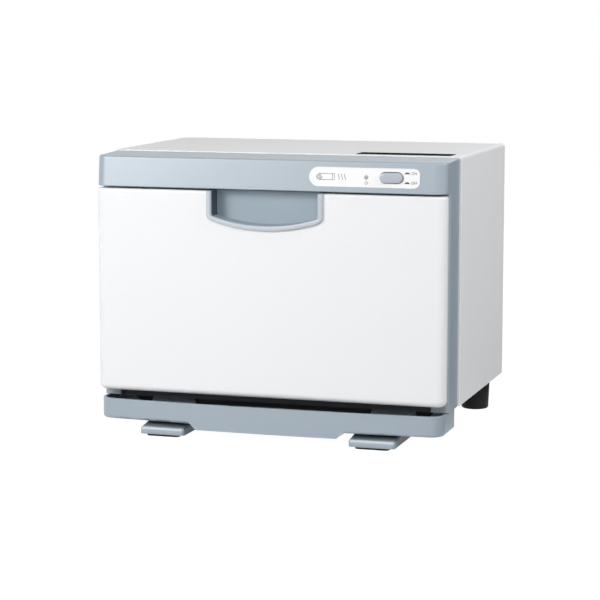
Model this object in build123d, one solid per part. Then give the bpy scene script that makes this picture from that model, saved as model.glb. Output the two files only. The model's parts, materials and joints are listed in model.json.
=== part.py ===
from build123d import *
import math
import os

# Front-opening towel warmer: a small insulated cabinet with a drop-down door, a pull-out drip
# tray under the door and a latching power button in the header above it. Millimetres.
# Every piece is laid out with x = 0 in the middle, y = 0 on the front face of the door, y growing
# towards the rear, and z = 0 on the table. The export moves all of them by the same step in y,
# so that the origin of the finished part lies under the middle of its overall box.

# Outer case, a bent steel wrap
CASE_HALF_WIDTH = 175.0
CASE_FRONT = 53.8
CASE_BACK = 247.6
CASE_BOTTOM = 35.0
CASE_TOP = 271.7
CASE_BEND = 3.4
SHEET = 1.2
CASE_FRONT_FLANGE = 13.0
CASE_REAR_FLANGE = 8.0

# Front bezel: the header with the controls and the ring round the door
WALL = 2.5
BEZEL_HALF_WIDTH = 172.9
HEADER_BOTTOM = 240.2
HEADER_FRONT_TOP = 269.1
HEADER_BACK_TOP = 270.6
HEADER_LEAN = 3.0
HEADER_CORNER = 11.0
HEADER_EDGE = 2.2
PILLAR_FRONT = 18.5
PILLAR_INNER = 156.0
PILLAR_BOTTOM = 34.5
PILLAR_EDGE = 3.5
RING_SILL_BOTTOM = 42.0
MOUTH_BOTTOM = 48.5
MOUTH_TOP = 236.0
MOUTH_CORNER = 14.0
MOUTH_DEPTH_END = 34.0
LUG_HALF = 3.8
LUG_DEPTH = 8.0
BOSS_RADIUS = 3.5

# Controls in the header
PLATE_LEFT = 41.9
PLATE_RIGHT = 147.9
PLATE_BOTTOM = 245.4
PLATE_TOP = 263.4
PLATE_RECESS = 0.8
PLATE_PROUD = 0.4
PLATE_RIGHT_CORNER = 5.5
BUTTON_X = 121.0
CONTROL_Z = 254.7
BUTTON_WIDTH = 21.8
BUTTON_HEIGHT = 10.0
BUTTON_FRONT = -1.9
BUTTON_CLEARANCE = 0.4
LAMP_X = 97.0
LAMP_RADIUS = 2.0
SWITCH_FLANGE_Y = 11.0
SWITCH_BACK = 32.0
SWITCH_SCREW_X = 15.6
SWITCH_EAR = 1.6
SWITCH_HALF_WIDTH = 11.5
SWITCH_HALF_HEIGHT = 7.5
PLUNGER_HALF = 2.2
PLUNGER_END = 15.0

# Heated tank
TANK_HALF_WIDTH = 140.0
TANK_BOTTOM = 65.0
TANK_TOP = 219.0
TANK_BACK = 205.0
TANK_CORNER = 12.8
TANK_FLANGE_HALF_WIDTH = 167.0
TANK_FLANGE_BOTTOM = 45.0
TANK_FLANGE_TOP = 248.0
HEATER_THICKNESS = 1.2
HEATER_FRONT = 50.0
HEATER_BACK = 195.0
INSULATION_THICKNESS = 12.0
INSULATION_FRONT = 38.0

# Electrical pieces behind and below the tank
THERMOSTAT_X = 40.0
FUSE_X = -30.0
SENSOR_Z = 140.0
TERMINAL_X = (-98.0, -86.0, -74.0)
WIRE_RADIUS = 1.4
WIRE_FLATS = 6
WIRE_BEND = 14.0
WIRE_TIGHT_BEND = 8.0
WIRE_END_GAP = 0.4
LAMP_TAIL_END = 25.0
TAB_LENGTH = 7.0
WIRE_Y = 226.5
WIRE_TOP = 252.0

# Wire basket
BASKET_HALF_WIDTH = 134.0
BASKET_FRONT = 42.0
BASKET_BACK = 192.0
BASKET_BASE = 69.6
BASKET_RIM = 110.0
BASKET_CORNER = 14.0
LOOP_WIRE_RADIUS = 1.8
ROD_RADIUS = 1.3
ROD_PITCH = 24.0
FLOOR_ROD_COUNT = 11
CROSS_ROD_Y = (74.0, 117.0, 160.0)
SIDE_UPRIGHT_Y = (60.0, 95.0, 139.0, 174.0)
WELD_GAP = 0.02

# Door
DOOR_HALF_WIDTH = 172.9
DOOR_BOTTOM = 41.8
DOOR_TOP = 238.3
DOOR_SHELL_DEPTH = 11.4
DOOR_CORNER = 9.0
DOOR_BOTTOM_EDGE = 6.0
DOOR_TOP_EDGE = 2.6
DOOR_WALL = 2.2
LINER_FLANGE_FRONT = 9.0
PLUG_HALF_WIDTH = 153.0
PLUG_BOTTOM = 52.0
PLUG_TOP = 232.0
PLUG_BACK = 27.0
PLUG_CORNER = 12.0
GASKET_BACK = 33.6
GASKET_INSET = 3.0
GASKET_WIDTH = 7.0
GASKET_CORNER = 14.0

# Recessed handle
HANDLE_X = -1.5
HANDLE_HALF_WIDTH = 57.8
HANDLE_RIM = 4.4
HANDLE_PROUD = 3.2
HANDLE_LOWEST = 201.0
HANDLE_CORNER_Z = 210.2
HANDLE_CORNER_RADIUS = 6.0
HANDLE_WALL = 2.0
HANDLE_DEPTH = 14.5
HANDLE_TAPER = 2.6
HANDLE_SCOOP = ((0.55, 0.2), (0.78, 1.5), (0.92, 3.6), (1.0, 6.4))
HANDLE_SEAT_GAP = 0.1

# Door hinge, a pin on each side
HINGE_Y = 12.0
HINGE_Z = 47.4
HINGE_PIN_RADIUS = 2.0
HINGE_RUNNING_CLEARANCE = 0.05
HINGE_BUSH_RADIUS = 3.1
HINGE_BOSS_RADIUS = 4.6
HINGE_BOSS_INNER = 147.0
HINGE_BOSS_OUTER = 158.2
HINGE_EAR_INNER = 159.5
HINGE_EAR_THICKNESS = 2.0
HINGE_EAR_RADIUS = 4.4
HINGE_PLATE_OUTER = 168.5
HINGE_PLATE_BOTTOM = 42.4
HINGE_PLATE_TOP = 65.0
HINGE_PLATE_THICKNESS = 1.5
HINGE_ROOM = 5.2

# Magnet catches
CATCH_INNER = 158.8
CATCH_OUTER = 168.8
CATCH_BOTTOM = 200.0
CATCH_TOP = 230.0
CATCH_FRONT = 13.4
CATCH_PEG_RADIUS = 2.95
CATCH_PEG_HOLE_RADIUS = 3.0
CATCH_PEG_END = 23.0
STRIKE_THICKNESS = 1.4

# Drip tray
TRAY_HALF_WIDTH = 171.0
TRAY_FRONT = 0.4
TRAY_BOW = 6.8
TRAY_BACK = 50.0
TRAY_TOP = 33.7
TRAY_BOTTOM = 8.4
TRAY_END_BOTTOM = 13.9
TRAY_DEEP_HALF_WIDTH = 70.2
TRAY_CORNER = 13.0
TRAY_EDGE = 2.6
TRAY_WALL = 2.4
TRAY_BACK_TOP = 23.0
TRAY_TAB_TOP = 31.0
TRAY_TAB_INNER = 91.5
TRAY_TAB_OUTER = 132.5
TONGUE_X = 55.0
TONGUE_WIDTH = 8.0
TONGUE_BOTTOM = 17.3
TONGUE_TOP = 22.0
TONGUE_BACK = 104.0
RAIL_FRONT = 54.0
RAIL_BACK = 108.0
RAIL_HALF_CHANNEL = 5.2
RAIL_FLANGE = 8.0
RAIL_BOTTOM = 15.8

# Base pan and feet
PAN_BOTTOM = CASE_BOTTOM + SHEET
PAN_FRONT = 24.0
PAN_LIP_BOTTOM = 33.3
PAN_SKIRT_Y = 51.2
PAN_SKIRT_BOTTOM = 22.8
PAN_FLANGE = 11.0
PAN_FLANGE_FRONT = 62.0
FOOT_INNER = 82.0
FOOT_OUTER = 127.0
FOOT_FRONT = -5.5
FOOT_TOE_FRONT_TOP = 8.4
FOOT_TOE_REAR_TOP = 13.3
FOOT_TOE_SLOPE_END = 30.0
FOOT_POST_FRONT = 56.0
FOOT_BACK = 92.0
FOOT_EDGE = 2.6
FOOT_WALL = 3.0
FOOT_POST_CEILING = PAN_BOTTOM - 4.2
FOOT_TOE_POCKETS = ((30, 40), (43, 53))
PAD_HEIGHT = 1.9
PAD_WIDTH = 33.0
PAD_FRONT = -4.6
PAD_BACK = 23.0
REAR_FOOT_X = 150.3
REAR_FOOT_Y = 232.0
REAR_FOOT_FLOOR_RADIUS = 13.8
REAR_FOOT_TOP_RADIUS = 15.2
REAR_FOOT_SEAT = 16.5

# Cord gland in the rear panel; the cord itself is left out
GLAND_X = -128.0
GLAND_Z = 62.0
GLAND_HOLE_RADIUS = 8.1
GLAND_BODY_RADIUS = 8.0
GLAND_FLANGE_RADIUS = 11.0
GLAND_FLANGE_THICKNESS = 3.5
GLAND_BORE_RADIUS = 3.8
GLAND_INNER_END = 236.0
GLAND_NUT_THICKNESS = 4.0

# Screws
SCREW_RADIUS = 1.5
SCREW_HOLE_RADIUS = 1.55
SCREW_HEAD_RADIUS = 2.8
SCREW_HEAD_HEIGHT = 1.8
FLUSH_HEAD_RADIUS = 2.6
FLUSH_HEAD_HEIGHT = 0.8
TANK_SCREW_TIP = 25.0
BEZEL_SCREW_TIP = 47.0
REAR_SCREW_TIP = 240.0
DOOR_SCREW_TIP = 3.0
SWITCH_SCREW_TIP = 5.0
HINGE_SCREW_TIP = 30.0
PAN_SCREW_TIP = 42.0
FOOT_SCREW_TIP = 43.5
REAR_FOOT_HEAD_RADIUS = 4.6

REAR_PANEL_Y = CASE_BACK - SHEET
OVERALL_FRONT = TRAY_FRONT - TRAY_BOW
OVERALL_BACK = REAR_PANEL_Y + GLAND_FLANGE_THICKNESS
CENTRE_Y = (OVERALL_FRONT + OVERALL_BACK) / 2
SIDES = {"left": -1, "right": 1}


def block(x0, x1, y0, y1, z0, z1):
    """A box between two opposite corners, given in any order."""
    size = (abs(x1 - x0), abs(y1 - y0), abs(z1 - z0))
    return Pos((x0 + x1) / 2, (y0 + y1) / 2, (z0 + z1) / 2) * Box(*size)


def disc_along_y(x, z, y0, y1, radius):
    """A round bar between two y positions."""
    return Pos(x, (y0 + y1) / 2, z) * Rot(90, 0, 0) * Cylinder(radius, abs(y1 - y0))


def disc_along_x(x0, x1, y, z, radius):
    """A round bar between two x positions."""
    return Pos((x0 + x1) / 2, y, z) * Rot(0, 90, 0) * Cylinder(radius, abs(x1 - x0))


def disc_along_z(x, y, z0, z1, radius):
    """A round bar between two heights."""
    return Pos(x, y, (z0 + z1) / 2) * Cylinder(radius, abs(z1 - z0))


def rounded_bar(half_width, z0, z1, y0, y1, radius):
    """A bar along y whose section is a rectangle with round corners."""
    face = Plane.XZ * Pos(0, (z0 + z1) / 2) * RectangleRounded(2 * half_width, z1 - z0, radius)
    return Pos(0, y1, 0) * extrude(face, y1 - y0)


def plan_face(half_width, front, back, corner, bow=0.0):
    """Outline seen from above: round front corners and a front edge that may bow forwards."""
    left, right = Vector(-half_width, front), Vector(half_width, front)
    if bow:
        front_edge = ThreePointArc(left, (0, front - bow), right)
    else:
        front_edge = Line(left, right)
    edges = [
        front_edge,
        Line(right, (half_width, back)),
        Line((half_width, back), (-half_width, back)),
        Line((-half_width, back), left),
    ]
    face = make_face(edges)
    front_corners = face.vertices().sort_by(Axis.Y)[:2]
    return fillet(front_corners, corner)


def rim_edges(solid, height, back):
    """Edges of a plan-shaped block at one height, without the straight one at its back."""
    level = [e for e in solid.edges() if abs(e.center().Z - height) < 0.01]
    return [e for e in level if e.center().Y < back - 0.5]


def screws_along_y(places, head_y, tip_y):
    """Pan-head screws driven towards the front; each head stands on head_y."""
    solids = []
    for x, z in places:
        head = disc_along_y(x, z, head_y, head_y + SCREW_HEAD_HEIGHT, SCREW_HEAD_RADIUS)
        solids.append(head + disc_along_y(x, z, head_y, tip_y, SCREW_RADIUS))
    return solids


def screws_from_below(places, head_z, tip_z, head_radius=SCREW_HEAD_RADIUS):
    """Pan-head screws driven upwards, with their heads underneath."""
    solids = []
    for x, y in places:
        head = disc_along_z(x, y, head_z - SCREW_HEAD_HEIGHT, head_z, head_radius)
        solids.append(head + disc_along_z(x, y, head_z, tip_z, SCREW_RADIUS))
    return solids


def drill_y(shape, places, y0, y1, radius=SCREW_HOLE_RADIUS):
    """Cut a hole along y at each (x, z) place."""
    for x, z in places:
        shape -= disc_along_y(x, z, y0, y1, radius)
    return shape


def drill_z(shape, places, z0, z1, radius=SCREW_HOLE_RADIUS):
    """Cut an upright hole at each (x, y) place."""
    for x, y in places:
        shape -= disc_along_z(x, y, z0, z1, radius)
    return shape


def mirrored(places):
    """Each place and its mirror image across the middle plane."""
    return [(side * a, b) for a, b in places for side in (-1, 1)]


TANK_SCREWS = mirrored([(163.0, 95.0), (163.0, 190.0), (90.0, 243.6)])
BEZEL_SCREWS = mirrored([(167.4, 75.0), (167.4, 220.0), (100.0, 264.4)])
REAR_SCREWS = mirrored([(171.0, 60.0), (171.0, 150.0), (171.0, 240.0), (90.0, 267.6)])
BASE_SCREWS = mirrored([(170.0, 80.0), (170.0, 150.0), (170.0, 222.0)])
FRONT_FOOT_SCREWS = mirrored([(94.5, 74.0), (114.5, 74.0)])
REAR_FOOT_SCREWS = mirrored([(REAR_FOOT_X, REAR_FOOT_Y)])
RAIL_SCREWS = mirrored([(45.8, 70.0), (64.2, 94.0)])
HINGE_SCREWS = mirrored([(165.2, 46.6), (165.2, 60.6)])
DOOR_SCREWS = mirrored([(164.0, 78.0), (164.0, 182.0)])
SWITCH_SCREWS = [(BUTTON_X - SWITCH_SCREW_X, CONTROL_Z), (BUTTON_X + SWITCH_SCREW_X, CONTROL_Z)]


def outer_case():
    """Steel sheet bent over the top and both sides, with flanges all round its edges."""
    case = block(-CASE_HALF_WIDTH, CASE_HALF_WIDTH, CASE_FRONT, CASE_BACK, CASE_BOTTOM, CASE_TOP)
    top_bends = case.edges().filter_by(Axis.Y).sort_by(Axis.Z)[-2:]
    case = fillet(top_bends, CASE_BEND)
    front_rim = [
        e for e in case.edges()
        if abs(e.center().Y - CASE_FRONT) < 0.01 and e.center().Z > CASE_BOTTOM + 1
    ]
    case = fillet(front_rim, SHEET - 0.2)
    inner_half_width = CASE_HALF_WIDTH - SHEET
    inside = block(-inner_half_width, inner_half_width, CASE_FRONT + SHEET, CASE_BACK - SHEET,
                   CASE_BOTTOM + SHEET, CASE_TOP - SHEET)
    inside = fillet(inside.edges().filter_by(Axis.Y).sort_by(Axis.Z)[-2:], CASE_BEND - SHEET)
    case -= inside
    front_half = CASE_HALF_WIDTH - CASE_FRONT_FLANGE
    case -= block(-front_half, front_half, CASE_FRONT - 1, CASE_FRONT + 2,
                  CASE_BOTTOM - 1, CASE_TOP - CASE_FRONT_FLANGE)
    rear_half = CASE_HALF_WIDTH - CASE_REAR_FLANGE
    case -= block(-rear_half, rear_half, CASE_BACK - 2, CASE_BACK + 1,
                  CASE_BOTTOM - 1, CASE_TOP - CASE_REAR_FLANGE)
    case -= block(-rear_half, rear_half, CASE_FRONT - 1, CASE_BACK + 1,
                  CASE_BOTTOM - 1, CASE_BOTTOM + 2)
    case = drill_y(case, BEZEL_SCREWS, CASE_FRONT - 1, CASE_FRONT + 2)
    case = drill_y(case, REAR_SCREWS, CASE_BACK - 2, CASE_BACK + 1)
    return drill_z(case, BASE_SCREWS, CASE_BOTTOM - 1, CASE_BOTTOM + 2)


def rear_panel():
    """Flat steel rear cover with two rows of vent slots and the hole for the cord gland."""
    half_width = CASE_HALF_WIDTH - SHEET - 0.2
    panel = block(-half_width, half_width, REAR_PANEL_Y - SHEET, REAR_PANEL_Y,
                  PAN_BOTTOM + SHEET + 0.2, CASE_TOP - SHEET - 0.2)
    top_corners = panel.edges().filter_by(Axis.Y).sort_by(Axis.Z)[-2:]
    panel = fillet(top_corners, CASE_BEND - SHEET)
    slot_length, slot_width, slot_pitch, slots_in_row = 36.0, 4.0, 46.0, 5
    for row_z in (238.0, 226.0):
        for number in range(slots_in_row):
            x = (number - (slots_in_row - 1) / 2) * slot_pitch
            slot = Plane.XZ * Pos(x, row_z) * SlotOverall(slot_length, slot_width)
            panel -= Pos(0, REAR_PANEL_Y + 1, 0) * extrude(slot, SHEET + 2)
    panel -= disc_along_y(GLAND_X, GLAND_Z, REAR_PANEL_Y - 3, REAR_PANEL_Y + 1, GLAND_HOLE_RADIUS)
    return drill_y(panel, REAR_SCREWS, REAR_PANEL_Y - 3, REAR_PANEL_Y + 1)


def base_pan():
    """Steel floor of the cabinet with upturned flanges, a skirt and a row of vent slots."""
    half_width = CASE_HALF_WIDTH - SHEET - 0.2
    neck_half_width = PILLAR_INNER - 0.5
    back = REAR_PANEL_Y - SHEET
    flange_top = PAN_BOTTOM + PAN_FLANGE
    pan = block(-half_width, half_width, CASE_FRONT + SHEET + 0.4, back,
                PAN_BOTTOM, PAN_BOTTOM + SHEET)
    pan += block(-neck_half_width, neck_half_width, PAN_FRONT, back, PAN_BOTTOM, PAN_BOTTOM + SHEET)
    pan += block(-neck_half_width, neck_half_width, PAN_FRONT, PAN_FRONT + SHEET,
                 PAN_LIP_BOTTOM, RING_SILL_BOTTOM - 0.2)
    pan += block(-neck_half_width, neck_half_width, PAN_SKIRT_Y, PAN_SKIRT_Y + SHEET,
                 PAN_SKIRT_BOTTOM, PAN_BOTTOM + SHEET)
    for side in SIDES.values():
        pan += block(side * (half_width - SHEET), side * half_width, PAN_FLANGE_FRONT, back - 4,
                     PAN_BOTTOM, flange_top)
    pan += block(8 - half_width, half_width - 8, back - SHEET, back, PAN_BOTTOM, flange_top)
    slot_length, slot_width, slot_pitch, slots_in_row, slot_y = 34.0, 4.0, 30.0, 4, 165.0
    for number in range(slots_in_row):
        x = (number - (slots_in_row - 1) / 2) * slot_pitch
        slot = Pos(x, slot_y, PAN_BOTTOM - 1) * Rot(0, 0, 90) * SlotOverall(slot_length, slot_width)
        pan -= extrude(slot, SHEET + 2)
    holes = BASE_SCREWS + FRONT_FOOT_SCREWS + REAR_FOOT_SCREWS + RAIL_SCREWS
    return drill_z(pan, holes, PAN_BOTTOM - 1, PAN_BOTTOM + 2)


def header_block(inset):
    """Closed form of the header, moved inwards by inset: leaning front and rising top."""
    lean_angle = math.atan2(HEADER_LEAN, HEADER_FRONT_TOP - HEADER_BOTTOM)
    low, high = HEADER_BOTTOM + inset, HEADER_BACK_TOP + 3.0
    sections = []
    for z in (low, high):
        front = inset + (z - HEADER_BOTTOM) * math.tan(lean_angle)
        face = plan_face(BEZEL_HALF_WIDTH - inset, front, CASE_FRONT, HEADER_CORNER - inset)
        sections.append(Pos(0, 0, z) * face)
    header = loft(sections, ruled=True)
    top_line = Polyline(
        (-5, HEADER_FRONT_TOP - 0.24 - inset),
        (CASE_FRONT + 5, HEADER_BACK_TOP + 0.15 - inset),
        (CASE_FRONT + 5, HEADER_BACK_TOP + 20),
        (-5, HEADER_BACK_TOP + 20),
        close=True,
    )
    above = extrude(Plane.YZ * make_face(top_line), BEZEL_HALF_WIDTH + 5, both=True)
    return header - above


def header_outside():
    """The header's outer form with its top and bottom edges rounded."""
    header = header_block(0.0)
    top_face = header.faces().sort_by(Axis.Z)[-1]
    top_rim = [e for e in top_face.edges() if e.center().Y < CASE_FRONT - 0.5]
    header = fillet(top_rim, HEADER_EDGE)
    return fillet(rim_edges(header, HEADER_BOTTOM, CASE_FRONT), 0.8)


def control_plane():
    """Plane of the header's leaning front face, with its own y running up the face."""
    lean = math.atan2(HEADER_LEAN, HEADER_FRONT_TOP - HEADER_BOTTOM)
    outward = (0, -math.cos(lean), math.sin(lean))
    return Plane(origin=(0, 0, HEADER_BOTTOM), x_dir=(1, 0, 0), z_dir=outward)


def plate_outline(margin):
    """Outline of the control plate on the header's face: a half circle at its left end."""
    height = PLATE_TOP - PLATE_BOTTOM + 2 * margin
    width = PLATE_RIGHT - PLATE_LEFT + 2 * margin
    centre = ((PLATE_LEFT + PLATE_RIGHT) / 2, (PLATE_BOTTOM + PLATE_TOP) / 2 - HEADER_BOTTOM)
    face = Pos(*centre) * Rectangle(width, height)
    right_corners = face.vertices().sort_by(Axis.X)[-2:]
    face = fillet(right_corners, PLATE_RIGHT_CORNER)
    left_corners = face.vertices().sort_by(Axis.X)[:2]
    return fillet(left_corners, height / 2 - 0.01)


def control_cutters():
    """What passes through the plate and the header wall: the button and the lamp."""
    slot = Plane.XZ * Pos(BUTTON_X, CONTROL_Z) * SlotOverall(
        BUTTON_WIDTH + 2 * BUTTON_CLEARANCE, BUTTON_HEIGHT + 2 * BUTTON_CLEARANCE)
    slot = Pos(0, 8, 0) * extrude(slot, 14)
    return slot + disc_along_y(LAMP_X, CONTROL_Z, -6, 8, LAMP_RADIUS)


def front_bezel():
    """One moulding: hollow header, two pillars, a sill and a deep mouth for the door's plug."""
    bezel = header_outside()
    ring = block(-BEZEL_HALF_WIDTH, BEZEL_HALF_WIDTH, PILLAR_FRONT, CASE_FRONT,
                 PILLAR_BOTTOM, HEADER_BOTTOM + 8)
    ring = fillet(ring.edges().filter_by(Axis.Z).sort_by(Axis.Y)[:2], PILLAR_EDGE)
    bezel += ring
    bezel -= block(-PILLAR_INNER, PILLAR_INNER, 0, CASE_FRONT + 1,
                   PILLAR_BOTTOM - 1, RING_SILL_BOTTOM)

    hollow_half = BEZEL_HALF_WIDTH - WALL
    hollow = block(-hollow_half, hollow_half, PILLAR_FRONT + WALL, CASE_FRONT + 5,
                   PILLAR_BOTTOM + WALL, HEADER_BOTTOM + 12)
    hollow -= block(-PILLAR_INNER - WALL, PILLAR_INNER + WALL, 0, CASE_FRONT + 6,
                    PILLAR_BOTTOM, RING_SILL_BOTTOM + WALL)
    bezel -= hollow
    bezel -= header_block(WALL)

    throat = rounded_bar(PILLAR_INNER + WALL, RING_SILL_BOTTOM + WALL, MOUTH_TOP + WALL,
                         PILLAR_FRONT, MOUTH_DEPTH_END, MOUTH_CORNER + WALL)
    bezel += throat
    bezel -= rounded_bar(PILLAR_INNER, MOUTH_BOTTOM, MOUTH_TOP,
                         PILLAR_FRONT - 1, MOUTH_DEPTH_END + 1, MOUTH_CORNER)

    for x, z in TANK_SCREWS:
        bezel += disc_along_y(x, z, PILLAR_FRONT + 1, MOUTH_DEPTH_END, BOSS_RADIUS)
    for x, z in BEZEL_SCREWS:
        if abs(x) > PILLAR_INNER:
            side = math.copysign(1, x)
            bezel += block(side * (abs(x) - LUG_HALF), side * (hollow_half + 0.5), CASE_FRONT - LUG_DEPTH,
                           CASE_FRONT, z - LUG_HALF, z + LUG_HALF)
        else:
            bezel += block(x - LUG_HALF, x + LUG_HALF, CASE_FRONT - LUG_DEPTH, CASE_FRONT,
                           z - LUG_HALF, HEADER_BACK_TOP - 1)
    for x, z in HINGE_SCREWS:
        bezel += disc_along_y(x, z, PILLAR_FRONT + 1, HINGE_SCREW_TIP + 2, BOSS_RADIUS)
    for x, z in SWITCH_SCREWS:
        bezel += disc_along_y(x, z, 3, SWITCH_FLANGE_Y, 3.0)

    recess = control_plane() * plate_outline(0.15)
    bezel -= extrude(recess, -PLATE_RECESS) + extrude(recess, 3)
    bezel -= control_cutters()
    for side in SIDES.values():
        bezel -= block(side * HINGE_EAR_INNER, side * HINGE_PLATE_OUTER, PILLAR_FRONT - 1,
                       PILLAR_FRONT + HINGE_PLATE_THICKNESS, HINGE_PLATE_BOTTOM, HINGE_PLATE_TOP)
        catch_x = side * (CATCH_INNER + CATCH_OUTER) / 2
        bezel -= disc_along_y(catch_x, (CATCH_BOTTOM + CATCH_TOP) / 2, PILLAR_FRONT - 1,
                              CATCH_PEG_END + 1, CATCH_PEG_HOLE_RADIUS)
    bezel = drill_y(bezel, TANK_SCREWS, TANK_SCREW_TIP, MOUTH_DEPTH_END + 1)
    bezel = drill_y(bezel, BEZEL_SCREWS, BEZEL_SCREW_TIP, CASE_FRONT + 1)
    bezel = drill_y(bezel, HINGE_SCREWS, PILLAR_FRONT - 1, HINGE_SCREW_TIP)
    return drill_y(bezel, SWITCH_SCREWS, SWITCH_SCREW_TIP, SWITCH_FLANGE_Y + 1)


def control_plate():
    """White plate let into the header's front, with holes for the button and the lamp."""
    face = control_plane() * plate_outline(0.0)
    plate = extrude(face, -PLATE_RECESS) + extrude(face, PLATE_PROUD)
    return plate - control_cutters()


def power_button():
    """Button cap with a domed front, a keeper flange behind the wall and a square plunger."""
    outline = Plane.XZ * Pos(BUTTON_X, CONTROL_Z) * SlotOverall(BUTTON_WIDTH, BUTTON_HEIGHT)
    cap = Pos(0, 6, 0) * extrude(outline, 6 - BUTTON_FRONT)
    front_rim = [e for e in cap.edges() if abs(e.center().Y - BUTTON_FRONT) < 0.01]
    cap = fillet(front_rim, 1.6)
    keeper = Plane.XZ * Pos(BUTTON_X, CONTROL_Z) * SlotOverall(
        BUTTON_WIDTH + 2.2, BUTTON_HEIGHT + 2.2)
    cap += Pos(0, 6.2, 0) * extrude(keeper, 1.2)
    return cap + block(BUTTON_X - PLUNGER_HALF, BUTTON_X + PLUNGER_HALF, 6, PLUNGER_END,
                       CONTROL_Z - PLUNGER_HALF, CONTROL_Z + PLUNGER_HALF)


def power_switch():
    """Latching switch: a housing with two mounting ears, an open plunger well and two tabs."""
    ear_half = SWITCH_SCREW_X + 3.6
    switch = block(BUTTON_X - ear_half, BUTTON_X + ear_half, SWITCH_FLANGE_Y,
                   SWITCH_FLANGE_Y + SWITCH_EAR, CONTROL_Z - 5, CONTROL_Z + 5)
    switch += block(BUTTON_X - SWITCH_HALF_WIDTH, BUTTON_X + SWITCH_HALF_WIDTH, SWITCH_FLANGE_Y,
                    SWITCH_BACK, CONTROL_Z - SWITCH_HALF_HEIGHT, CONTROL_Z + SWITCH_HALF_HEIGHT)
    well = PLUNGER_HALF + 0.4
    switch -= block(BUTTON_X - well, BUTTON_X + well, SWITCH_FLANGE_Y - 1, PLUNGER_END + 5,
                    CONTROL_Z - well, CONTROL_Z + well)
    for x in (BUTTON_X - 6, BUTTON_X + 6):
        switch += block(x - 2.4, x + 2.4, SWITCH_BACK, SWITCH_BACK + TAB_LENGTH,
                        CONTROL_Z - 0.4, CONTROL_Z + 0.4)
    return drill_y(switch, SWITCH_SCREWS, SWITCH_FLANGE_Y - 1, SWITCH_FLANGE_Y + 3)


def lamp_lens():
    """Small domed lens of the power lamp, with a collar behind the header wall."""
    lens = disc_along_y(LAMP_X, CONTROL_Z, 0.9, 6.0, LAMP_RADIUS - 0.02)
    dome = Pos(LAMP_X, 2.3, CONTROL_Z) * Sphere(2.4)
    dome &= disc_along_y(LAMP_X, CONTROL_Z, -3, 2.3, LAMP_RADIUS - 0.02)
    return lens + dome + disc_along_y(LAMP_X, CONTROL_Z, 5.0, 6.0, 3.0)


def lamp_holder():
    """Holder behind the lens, with a flat tail that carries its two wires."""
    holder = disc_along_y(LAMP_X, CONTROL_Z, 6.0, 20, 3.4)
    return holder + block(LAMP_X - 3, LAMP_X + 3, 20, LAMP_TAIL_END, CONTROL_Z - 1, CONTROL_Z + 1)


def inner_tank():
    """Heated aluminium tank with round edges and a broad front flange behind the bezel."""
    tank = rounded_bar(TANK_HALF_WIDTH + SHEET, TANK_BOTTOM - SHEET, TANK_TOP + SHEET,
                       MOUTH_DEPTH_END, TANK_BACK + SHEET, TANK_CORNER + SHEET)
    back_rim = [e for e in tank.edges() if abs(e.center().Y - TANK_BACK - SHEET) < 0.01]
    tank = fillet(back_rim, 5.0)
    tank += block(-TANK_FLANGE_HALF_WIDTH, TANK_FLANGE_HALF_WIDTH, MOUTH_DEPTH_END,
                  MOUTH_DEPTH_END + SHEET, TANK_FLANGE_BOTTOM, TANK_FLANGE_TOP)
    inside = rounded_bar(TANK_HALF_WIDTH, TANK_BOTTOM, TANK_TOP,
                         MOUTH_DEPTH_END - 1, TANK_BACK, TANK_CORNER)
    inside_rim = [e for e in inside.edges() if abs(e.center().Y - TANK_BACK) < 0.01]
    tank -= fillet(inside_rim, 5.0 - SHEET)
    return drill_y(tank, TANK_SCREWS, MOUTH_DEPTH_END - 1, MOUTH_DEPTH_END + 3)


def sheet_heater():
    """Thin heating sheet that wraps the underside and the lower half of both sides."""
    reach = SHEET + HEATER_THICKNESS
    outer = rounded_bar(TANK_HALF_WIDTH + reach, TANK_BOTTOM - reach, TANK_TOP + 20,
                        HEATER_FRONT, HEATER_BACK, TANK_CORNER + reach)
    inner = rounded_bar(TANK_HALF_WIDTH + SHEET, TANK_BOTTOM - SHEET, TANK_TOP + 30,
                        HEATER_FRONT - 1, HEATER_BACK + 1, TANK_CORNER + SHEET)
    middle = (TANK_BOTTOM + TANK_TOP) / 2
    return outer - inner - block(-CASE_HALF_WIDTH, CASE_HALF_WIDTH, HEATER_FRONT - 5,
                                 HEATER_BACK + 5, middle, TANK_TOP + 40)


def insulation_blanket():
    """Felt blanket round the tank, cut out for the thermostat and the fuse at the back."""
    gap = SHEET + HEATER_THICKNESS
    thick = gap + INSULATION_THICKNESS
    blanket = rounded_bar(TANK_HALF_WIDTH + thick, TANK_BOTTOM - thick, TANK_TOP + thick,
                          INSULATION_FRONT, TANK_BACK + SHEET + INSULATION_THICKNESS, 20)
    blanket -= rounded_bar(TANK_HALF_WIDTH + gap, TANK_BOTTOM - gap, TANK_TOP + gap,
                           INSULATION_FRONT - 1, TANK_BACK + SHEET, TANK_CORNER + gap)
    blanket -= disc_along_y(THERMOSTAT_X, SENSOR_Z, TANK_BACK, TANK_BACK + 20, 15)
    return blanket - block(FUSE_X - 20, FUSE_X + 20, TANK_BACK, TANK_BACK + 20,
                           SENSOR_Z - 7, SENSOR_Z + 7)


def thermostat():
    """Snap-disc thermostat: round can on a flat flange, with two tabs."""
    face = TANK_BACK + SHEET
    can = disc_along_y(THERMOSTAT_X, SENSOR_Z, face, face + 9, 8)
    can += block(THERMOSTAT_X - 12.5, THERMOSTAT_X + 12.5, face, face + 1, SENSOR_Z - 4, SENSOR_Z + 4)
    for x in (THERMOSTAT_X - 4, THERMOSTAT_X + 4):
        can += block(x - 0.4, x + 0.4, face + 9, face + 9 + TAB_LENGTH, SENSOR_Z - 3, SENSOR_Z + 3)
    return can


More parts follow.
